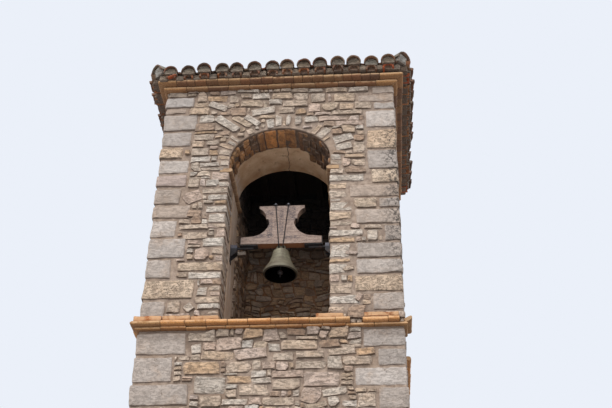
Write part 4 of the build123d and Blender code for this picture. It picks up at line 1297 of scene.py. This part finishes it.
heap_covers = Heap()
heap_channels = Heap()
heap_plugs = Heap()
for number, (name, face) in enumerate(FACES.items()):
    rng = np.random.default_rng(80 + number)
    half = roof_half[name]
    further = SIDE_REACH[name]
    wide = name in ("front", "back")
    slope_run = FACE_HALF["left" if wide else "front"] + eave_reach
    run_in = -face.out * cos(ROOF_PITCH) + np.array((0, 0, sin(ROOF_PITCH)))
    covers = 14 if wide else 12
    for lane in range(-1, 2 * covers):
        place = (lane / 2 - (covers - 1) / 2) * TILE_PITCH
        cover = lane % 2 == 0
        if abs(place) > half - 0.04:
            continue
        stretch = (min(half - abs(place), slope_run) + further) / cos(ROOF_PITCH)
        row = 0
        while row * EXPOSED < stretch - 0.05:
            along = row * EXPOSED
            length = min(TILE_LENGTH, stretch - along + 0.03)
            jog = rng.normal(0, 0.007)
            forward = rng.normal(0, 0.009) if row == 0 else 0.0
            reach = eave_reach + further + forward - (0.0 if cover else 0.024)
            foot = face.place(place + jog, eave_level - further * tan(ROOF_PITCH), reach) + run_in * along
            turn = rng.normal(0, 0.025)
            side = face.across * cos(turn) + run_in * sin(turn)
            ahead = run_in * cos(turn) - face.across * sin(turn)
            tint = draw(rng, TILE_TINTS)
            if cover:
                foot = raised(foot, COVER_LIFT + rng.normal(0, 0.003))
                lay_tile(heap_covers, rng, foot, ahead, side, COVER_RADII, length, tint, spread=88)
            else:
                foot = raised(foot, CHANNEL_LIFT)
                lay_tile(heap_channels, rng, foot, ahead, side, CHANNEL_RADII, length, tint, -1, spread=76)
            if row == 0 and cover:
                under = draw(rng, FRESH_TINTS if (name, lane) in FRESH else UNDER_TINTS)
                slant = rng.normal(0, 0.05)
                lay_eaves_tile(heap_covers, heap_plugs, rng, face, place + jog, reach, foot[2], under, slant)
            elif row == 0:
                back = eave_reach + further - 0.125 + rng.uniform(-0.01, 0.01)
                strip = raised(face.place(place + jog, bed_low + MORTAR_HEIGHT, back), 0)
                axes = np.array((face.across, -face.out, (0, 0, 1)))
                size = (TILE_PITCH - 0.105, 0.13, 0.078)
                # Painted shade: on the sides the strips are tinted darker.
                strip_tint = vary(rng, colour(160, 142, 122) if wide else colour(118, 98, 80))
                lay_block(heap_plugs, rng, strip, axes, size, 0.012, 0.007, strip_tint, cell=0.03)
            row += 1

# A broken piece of under-tile that has slipped out beside the left hip.
slip = radians(29)
axes = np.array(((cos(slip), 0, sin(slip)), (0, 1, 0), (-sin(slip), 0, cos(slip))))
middle = (-1.344, front_y - 0.172, 10.297)
lay_block(heap_covers, rng, middle, axes, (0.112, 0.04, 0.030), 0.005, 0.002, colour(196, 106, 50), cell=0.03)

# Hips and ridge: larger covers, and two lumps of mortar that close the foot of each hip. Each lump has
# its place up the hip, its height over it, its size, how far its edges are eased, roughness and tint.
HIP_PLUGS = (
    (0.09, 0.012, (0.17, 0.15, 0.14), 0.05, 0.008, (192, 188, 178)),
    (0.17, -0.10, (0.13, 0.20, 0.15), 0.04, 0.012, (128, 108, 88)),
)
HIP_EXPOSED = 0.33
HIP_LENGTH = 0.44
HIP_RADII = (0.106, 0.088)
RIDGE_LENGTH = 0.34
RIDGE_RADII = (0.104, 0.092)
HIP_FOOT_TINT = colour(146, 142, 130)
rng = np.random.default_rng(90)
ridge_half = roof_half["front"] - roof_half["right"]
hip_top = eave_level + roof_half["right"] * tan(ROOF_PITCH)
for side_x in (-1, 1):
    for side_y in (-1, 1):
        low = (side_x * (roof_half["front"] - 0.05), side_y * (roof_half["right"] - 0.05), eave_level)
        low = raised(np.array(low), 0.076)
        top = raised(np.array((side_x * ridge_half, 0, hip_top)), 0.070)
        length = np.linalg.norm(top - low)
        up = (top - low) / length
        across = np.cross(up, (0, 0, 1))
        across = across / np.linalg.norm(across)
        for row in range(int(length / HIP_EXPOSED) + 1):
            foot = low + up * row * HIP_EXPOSED
            tint = draw(rng, TILE_TINTS, 0.08) if row else vary(rng, HIP_FOOT_TINT, 0.08)
            run = min(HIP_LENGTH, length - row * HIP_EXPOSED + 0.05)
            lay_tile(heap_covers, rng, foot, up, across, HIP_RADII, run, tint, spread=88)
        axes = np.array((across, up, np.cross(across, up)))
        for along, lift, size, edge, rough, tint in HIP_PLUGS:
            plug = low + up * along + np.array((0, 0, lift))
            lay_block(heap_plugs, rng, plug, axes, size, edge, rough, colour(*tint), cell=0.03)
for x in (-ridge_half - 0.06, ridge_half + 0.06):
    foot = raised(np.array((x, 0, hip_top)), 0.086)
    up = np.array((-1.0 if x > 0 else 1.0, 0, 0.03 if x < 0 else 0.0))
    up = up / np.linalg.norm(up)
    across = np.cross(up, (0, 0, 1))
    tint = colour(150, 140, 124)
    lay_tile(heap_covers, rng, foot, up, across, RIDGE_RADII, RIDGE_LENGTH, tint, spread=88)

tile_material, shade = new_material("barrel_tile")
grain = shade.noise(55, 5, 0.7)
lichen = shade.noise(17, 6, 0.78).fade(0.5, 0.62)
spots = shade.noise(41, 4, 0.7).fade(0.62, 0.7)
moss = shade.noise(7, 5, 0.7).fade(0.55, 0.7)
fired = shade.noise(5, 3).fade(0.56, 0.66)
upward = shade.axes(FACING)[UP].fade(-0.25, 0.35)
broken = shade.rim()
base = grain.fade(0.25, 0.8).mix(colour(170, 160, 150), colour(255, 255, 255))
base = base.tinted(shade.tint())
base = coats(
    (1 - upward * 0.85).mix(base, base.tinted(colour(208, 184, 166))),
    (lichen * upward * 0.55, 176, 172, 156),
    (spots * upward * 0.6, 66, 62, 56),
    (moss * upward * 0.4, 128, 116, 84),
    (fired * 0.25, 172, 92, 56),
    (broken * shade.noise(6, 3).fade(0.5, 0.6) * 0.35, 156, 88, 60),
    (broken * shade.noise(20, 4).fade(0.45, 0.6) * 0.5, 104, 96, 86),
)
surface(tile_material, base, 0.93, shade.bump(grain * 0.7 + lichen * 0.4, 0.008, 0.85))
covers_piece = heap_covers.build("roof_cover_tiles", tile_material)
channels_piece = heap_channels.build("roof_channel_tiles", tile_material)
heap_plugs.build("eaves_mortar_plugs", stone_material)

# Bed of the roof: mortar and rubble under the tiles, set back behind the tiles that hang over it.
bed_material, shade = new_material("roof_bedding")
lumps = shade.noise(24, 5, 0.7)
# Painted shade: the bed's mortar is darker than the wall's, as the shade under the overhanging tiles.
base = lumps.fade(0.3, 0.7).mix(colour(84, 66, 52), colour(132, 112, 92))
surface(bed_material, base, 0.95, shade.bump(lumps, 0.01))
BED_REACH = 0.085
BED_COVER = 0.022
bed_x, bed_y = half_width + BED_REACH, half_depth + BED_REACH
bed_edge = eave_level - BED_COVER + (eave_reach - BED_REACH) * tan(ROOF_PITCH)
bed_ridge = bed_edge + bed_y * tan(ROOF_PITCH)
mesh = bpy.data.meshes.new("roof_bed")
corners = [(-bed_x, -bed_y), (bed_x, -bed_y), (bed_x, bed_y), (-bed_x, bed_y)]
points = [(x, y, bed_low) for x, y in corners] + [(x, y, bed_edge + ROOF_TILT * x) for x, y in corners]
points += [(x, 0, bed_ridge + ROOF_TILT * x) for x in (-bed_x + bed_y, bed_x - bed_y)]
sides = [(3, 2, 1, 0), (0, 1, 5, 4), (1, 2, 6, 5), (2, 3, 7, 6), (3, 0, 4, 7)]
sides += [(4, 5, 9, 8), (5, 6, 9), (6, 7, 8, 9), (7, 4, 8)]
mesh.from_pydata(points, [], sides)
mesh.materials.append(bed_material)
roof_bed = put("roof_bed", mesh)
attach(roof_bed, "tower")
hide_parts("eaves_tile_course_front_and_back", "eaves_tile_course_sides")
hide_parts("roof_front_slope", "roof_back_slope", "roof_left_slope", "roof_right_slope")
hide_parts("roof_cappings")

# Ceiling of the chamber: hewn joists and boards, coloured near black as painted shade of the dim top of the
# chamber.
old_timber, shade = new_material("old_timber")
grain = shade.noise(14, 6, 0.65, (6, 0.5, 6))
base = grain.fade(0.3, 0.7).mix(colour(18, 13, 11), colour(40, 29, 23))
surface(old_timber, base, 0.85, shade.bump(grain, 0.006, 0.8))
give(old_timber, "ceiling_joists", "ceiling_boards")

# Yoke: a counterweight of heavy timbers, bleached to a pinkish white by the weather, with dark
# knots, checks and water stains. Its underside keeps the brown of the wood, black beside the irons.
YOKE_JOINT = 8.498  # the level at which two timbers meet
YOKE_STAINS = (  # middle and reach across, middle and reach up
    (0.026, 0.032, 8.47, 0.23), (-0.110, 0.040, 8.38, 0.17), (-0.19, 0.15, 8.272, 0.034),
    (0.150, 0.055, 8.58, 0.12), (0.15, 0.10, 8.245, 0.026), (-0.12, 0.06, 8.60, 0.05),
)
yoke_material, shade = new_material("weathered_timber")
grain = shade.noise(10, 7, 0.7, (0.7, 7, 8))
fine_grain = shade.noise(60, 4, 0.6, (0.25, 4, 4))
blotches = shade.noise(46, 4, 0.75, (0.6, 1, 1.3)).fade(0.48, 0.62)
checks = shade.noise(22, 5, 0.7, (0.35, 1, 5)).fade(0.62, 0.68)
specks = shade.noise(90, 3, 0.6).fade(0.56, 0.64)
under = shade.axes(FACING)[UP].fade(-0.5, -0.9)
across, _, level = shade.axes(PLACE)
spots = shade.noise(110, 3, 0.75, (0.4, 1, 1)).fade(0.4, 0.58)
stained = 0
for middle, reach, height, rise in YOKE_STAINS:
    stained = window(across, middle, reach) * window(level, height, rise) + stained
joint_line = window(level, YOKE_JOINT, 0.004) * window(across, -0.02, 0.2)
beam_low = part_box("yoke_beam")[0].z
wood = window(across, 0.03, 0.36) * level.fade(beam_low + 0.06, beam_low + 0.03)
wood = wood.mix(colour(24, 19, 17), colour(136, 82, 42))
base = coats(
    grain.fade(0.3, 0.7).mix(colour(146, 123, 110), colour(186, 163, 147)),
    (fine_grain.fade(0.45, 0.7) * 0.35, 122, 100, 88),
    (blotches * 0.55, 104, 88, 82),
    (specks * 0.55, 86, 76, 78),
    (stained * spots * 0.62, 56, 56, 66),
    (checks * 0.6, 78, 64, 58),
    (joint_line * 0.6, 88, 72, 64),
)
base = (under * 0.9).mix(base, wood)
surface(yoke_material, base, 0.86, shade.bump(grain * 0.6 + fine_grain * 0.3 - checks * 0.6, 0.006, 0.9))
give(yoke_material, "yoke_beam", "yoke_head")

# Ironwork: forged and sawn mild steel, black with thin rust, brighter where it turns.
iron_material, shade = new_material("black_iron")
scale_marks = shade.noise(70, 5, 0.7)
rust = shade.noise(18, 5, 0.7).fade(0.52, 0.68)
base = scale_marks.fade(0.3, 0.8).mix(colour(28, 26, 28), colour(66, 62, 62))
base = coats(base, (rust * 0.45, 104, 66, 44))
surface(iron_material, base, 0.6, shade.bump(scale_marks, 0.002, 0.6), 0.35)
give(iron_material, "stirrups", "yoke_plate", "bearing_brackets", "clapper", "clapper_hanger", "gudgeons")

# Housings and nuts: cast grey iron, dark at the foot and pale with dust on top.
housing_material, shade = new_material("cast_grey_iron")
cast = shade.noise(90, 4, 0.65)
rust = shade.noise(22, 5, 0.7).fade(0.5, 0.7)
level = shade.axes(PLACE)[UP]
housing_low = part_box("bearing_housings")[0].z
base = coats(
    cast.fade(0.3, 0.8).mix(colour(72, 72, 80), colour(130, 130, 140)),
    (rust * 0.3, 104, 78, 62),
    (level.fade(housing_low + 0.055, housing_low + 0.035) * 0.9, 34, 32, 34),
    (level.fade(8.5, 8.6) * 0.7, 170, 172, 180),
)
surface(housing_material, base, 0.65, shade.bump(cast, 0.002, 0.7), 0.2)
give(housing_material, "bearing_housings", "stirrup_nuts")

# Bell: cast bronze under a pale grey-green patina, browner towards its mouth and streaked by rain.
BELL_LINES = (0.062, 0.155, 0.168, 0.215)  # moulded lines, above the bell's mouth
bell_material, shade = new_material("bell_bronze")
cast = shade.noise(60, 4, 0.6)
cloud = shade.noise(9, 5, 0.7).fade(0.35, 0.7)
streaks = shade.noise(26, 5, 0.65, (1, 1, 0.12)).fade(0.45, 0.7)
height = shade.axes(PLACE)[UP]
# Painted shade: faces that point down are darkened.
below = shade.axes(FACING)[UP].fade(-0.4, -0.8)
position = shade.node("TexCoord", out=PLACE)
facing = shade.node("TexCoord", out=FACING)
bell_low, bell_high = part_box("bell")
bell_axis = ((bell_low.x + bell_high.x) / 2, (bell_low.y + bell_high.y) / 2, 0)
outward = shade.node("VectorMath", {"operation": "SUBTRACT"}, {0: position, 1: bell_axis})
outward = shade.node("VectorMath", {"operation": "MULTIPLY"}, {0: outward, 1: (10, 10, 0)})
# Painted shade: inside the bell the colour goes near black and its shine falls away.
inner = shade.node("VectorMath", {"operation": "DOT_PRODUCT"}, {0: outward, 1: facing}, out=1).fade(0.0, -0.2)
lip = height.fade(bell_low.z + 0.055, bell_low.z + 0.03)
lines = 0
for line in BELL_LINES:
    lines = window(height, bell_low.z + line, 0.0035) + lines
base = coats(
    cloud.mix(colour(98, 89, 72), colour(140, 135, 112)),
    (streaks * 0.35, 150, 147, 126),
    (shade.noise(30, 5, 0.75).fade(0.56, 0.7) * 0.5, 84, 74, 58),
    (height.fade(bell_low.z + 0.24, bell_low.z + 0.06) * 0.5, 92, 80, 64),
    (lip * 0.2, 150, 144, 124),
    (below * 0.8, 40, 34, 28),
    (lines * 0.6, 66, 60, 48),
    (inner, 9, 8, 8),
)
surface(bell_material, base, 0.62, shade.bump(cast, 0.002, 0.6), inner * 0.7 + 0.3)
give(bell_material, "bell")

# Floor, sky and light: soft light from above in front, a little from the left, and a pale floor.
FLOOR_HALF = 9.0
mesh = bpy.data.meshes.new("floor")
corners = [(x * FLOOR_HALF, y * FLOOR_HALF, 0) for x, y in ((-1, -1), (1, -1), (1, 1), (-1, 1))]
mesh.from_pydata(corners, [], [(0, 1, 2, 3)])
floor = put("floor", mesh)
floor_material, shade = new_material("pale_floor")
base = shade.noise(2, 3).fade(0.2, 0.8).mix(colour(214, 214, 212), colour(222, 222, 220))
surface(floor_material, base, 0.95)
mesh.materials.append(floor_material)

world = bpy.data.worlds.new("sky")
bpy.context.scene.world = world
world.use_nodes = True
shade = Shade(world.node_tree)
CAMERA_RAY, GLOSSY_RAY, REFLECTED_RAY = 0, 3, 5
seen = shade.node("LightPath", out=CAMERA_RAY)
for ray in (GLOSSY_RAY, REFLECTED_RAY):
    seen = seen.math("MAXIMUM", seen, shade.node("LightPath", out=ray))
light = shade.axes(RAY)[UP].fade(-0.35, 0.75).mix((0.075, 0.060, 0.045, 1), (0.75, 0.77, 0.80, 1))
glow = seen.mix(light, colour(235, 240, 249))
background = world.node_tree.nodes["Background"]
world.node_tree.links.new(glow.socket, background.inputs["Color"])
background.inputs["Strength"].default_value = 1.0

sun = bpy.data.lights.new("soft_daylight", "SUN")
sun.energy = 2.2
sun.angle = radians(50)
sun.color = (1.0, 0.985, 0.96)
sun_object = put("soft_daylight", sun)
towards = Vector((-0.30, -0.68, 0.90))
sun_object.rotation_euler = towards.to_track_quat("Z", "Y").to_euler()

bpy.context.scene.view_settings.view_transform = "Standard"
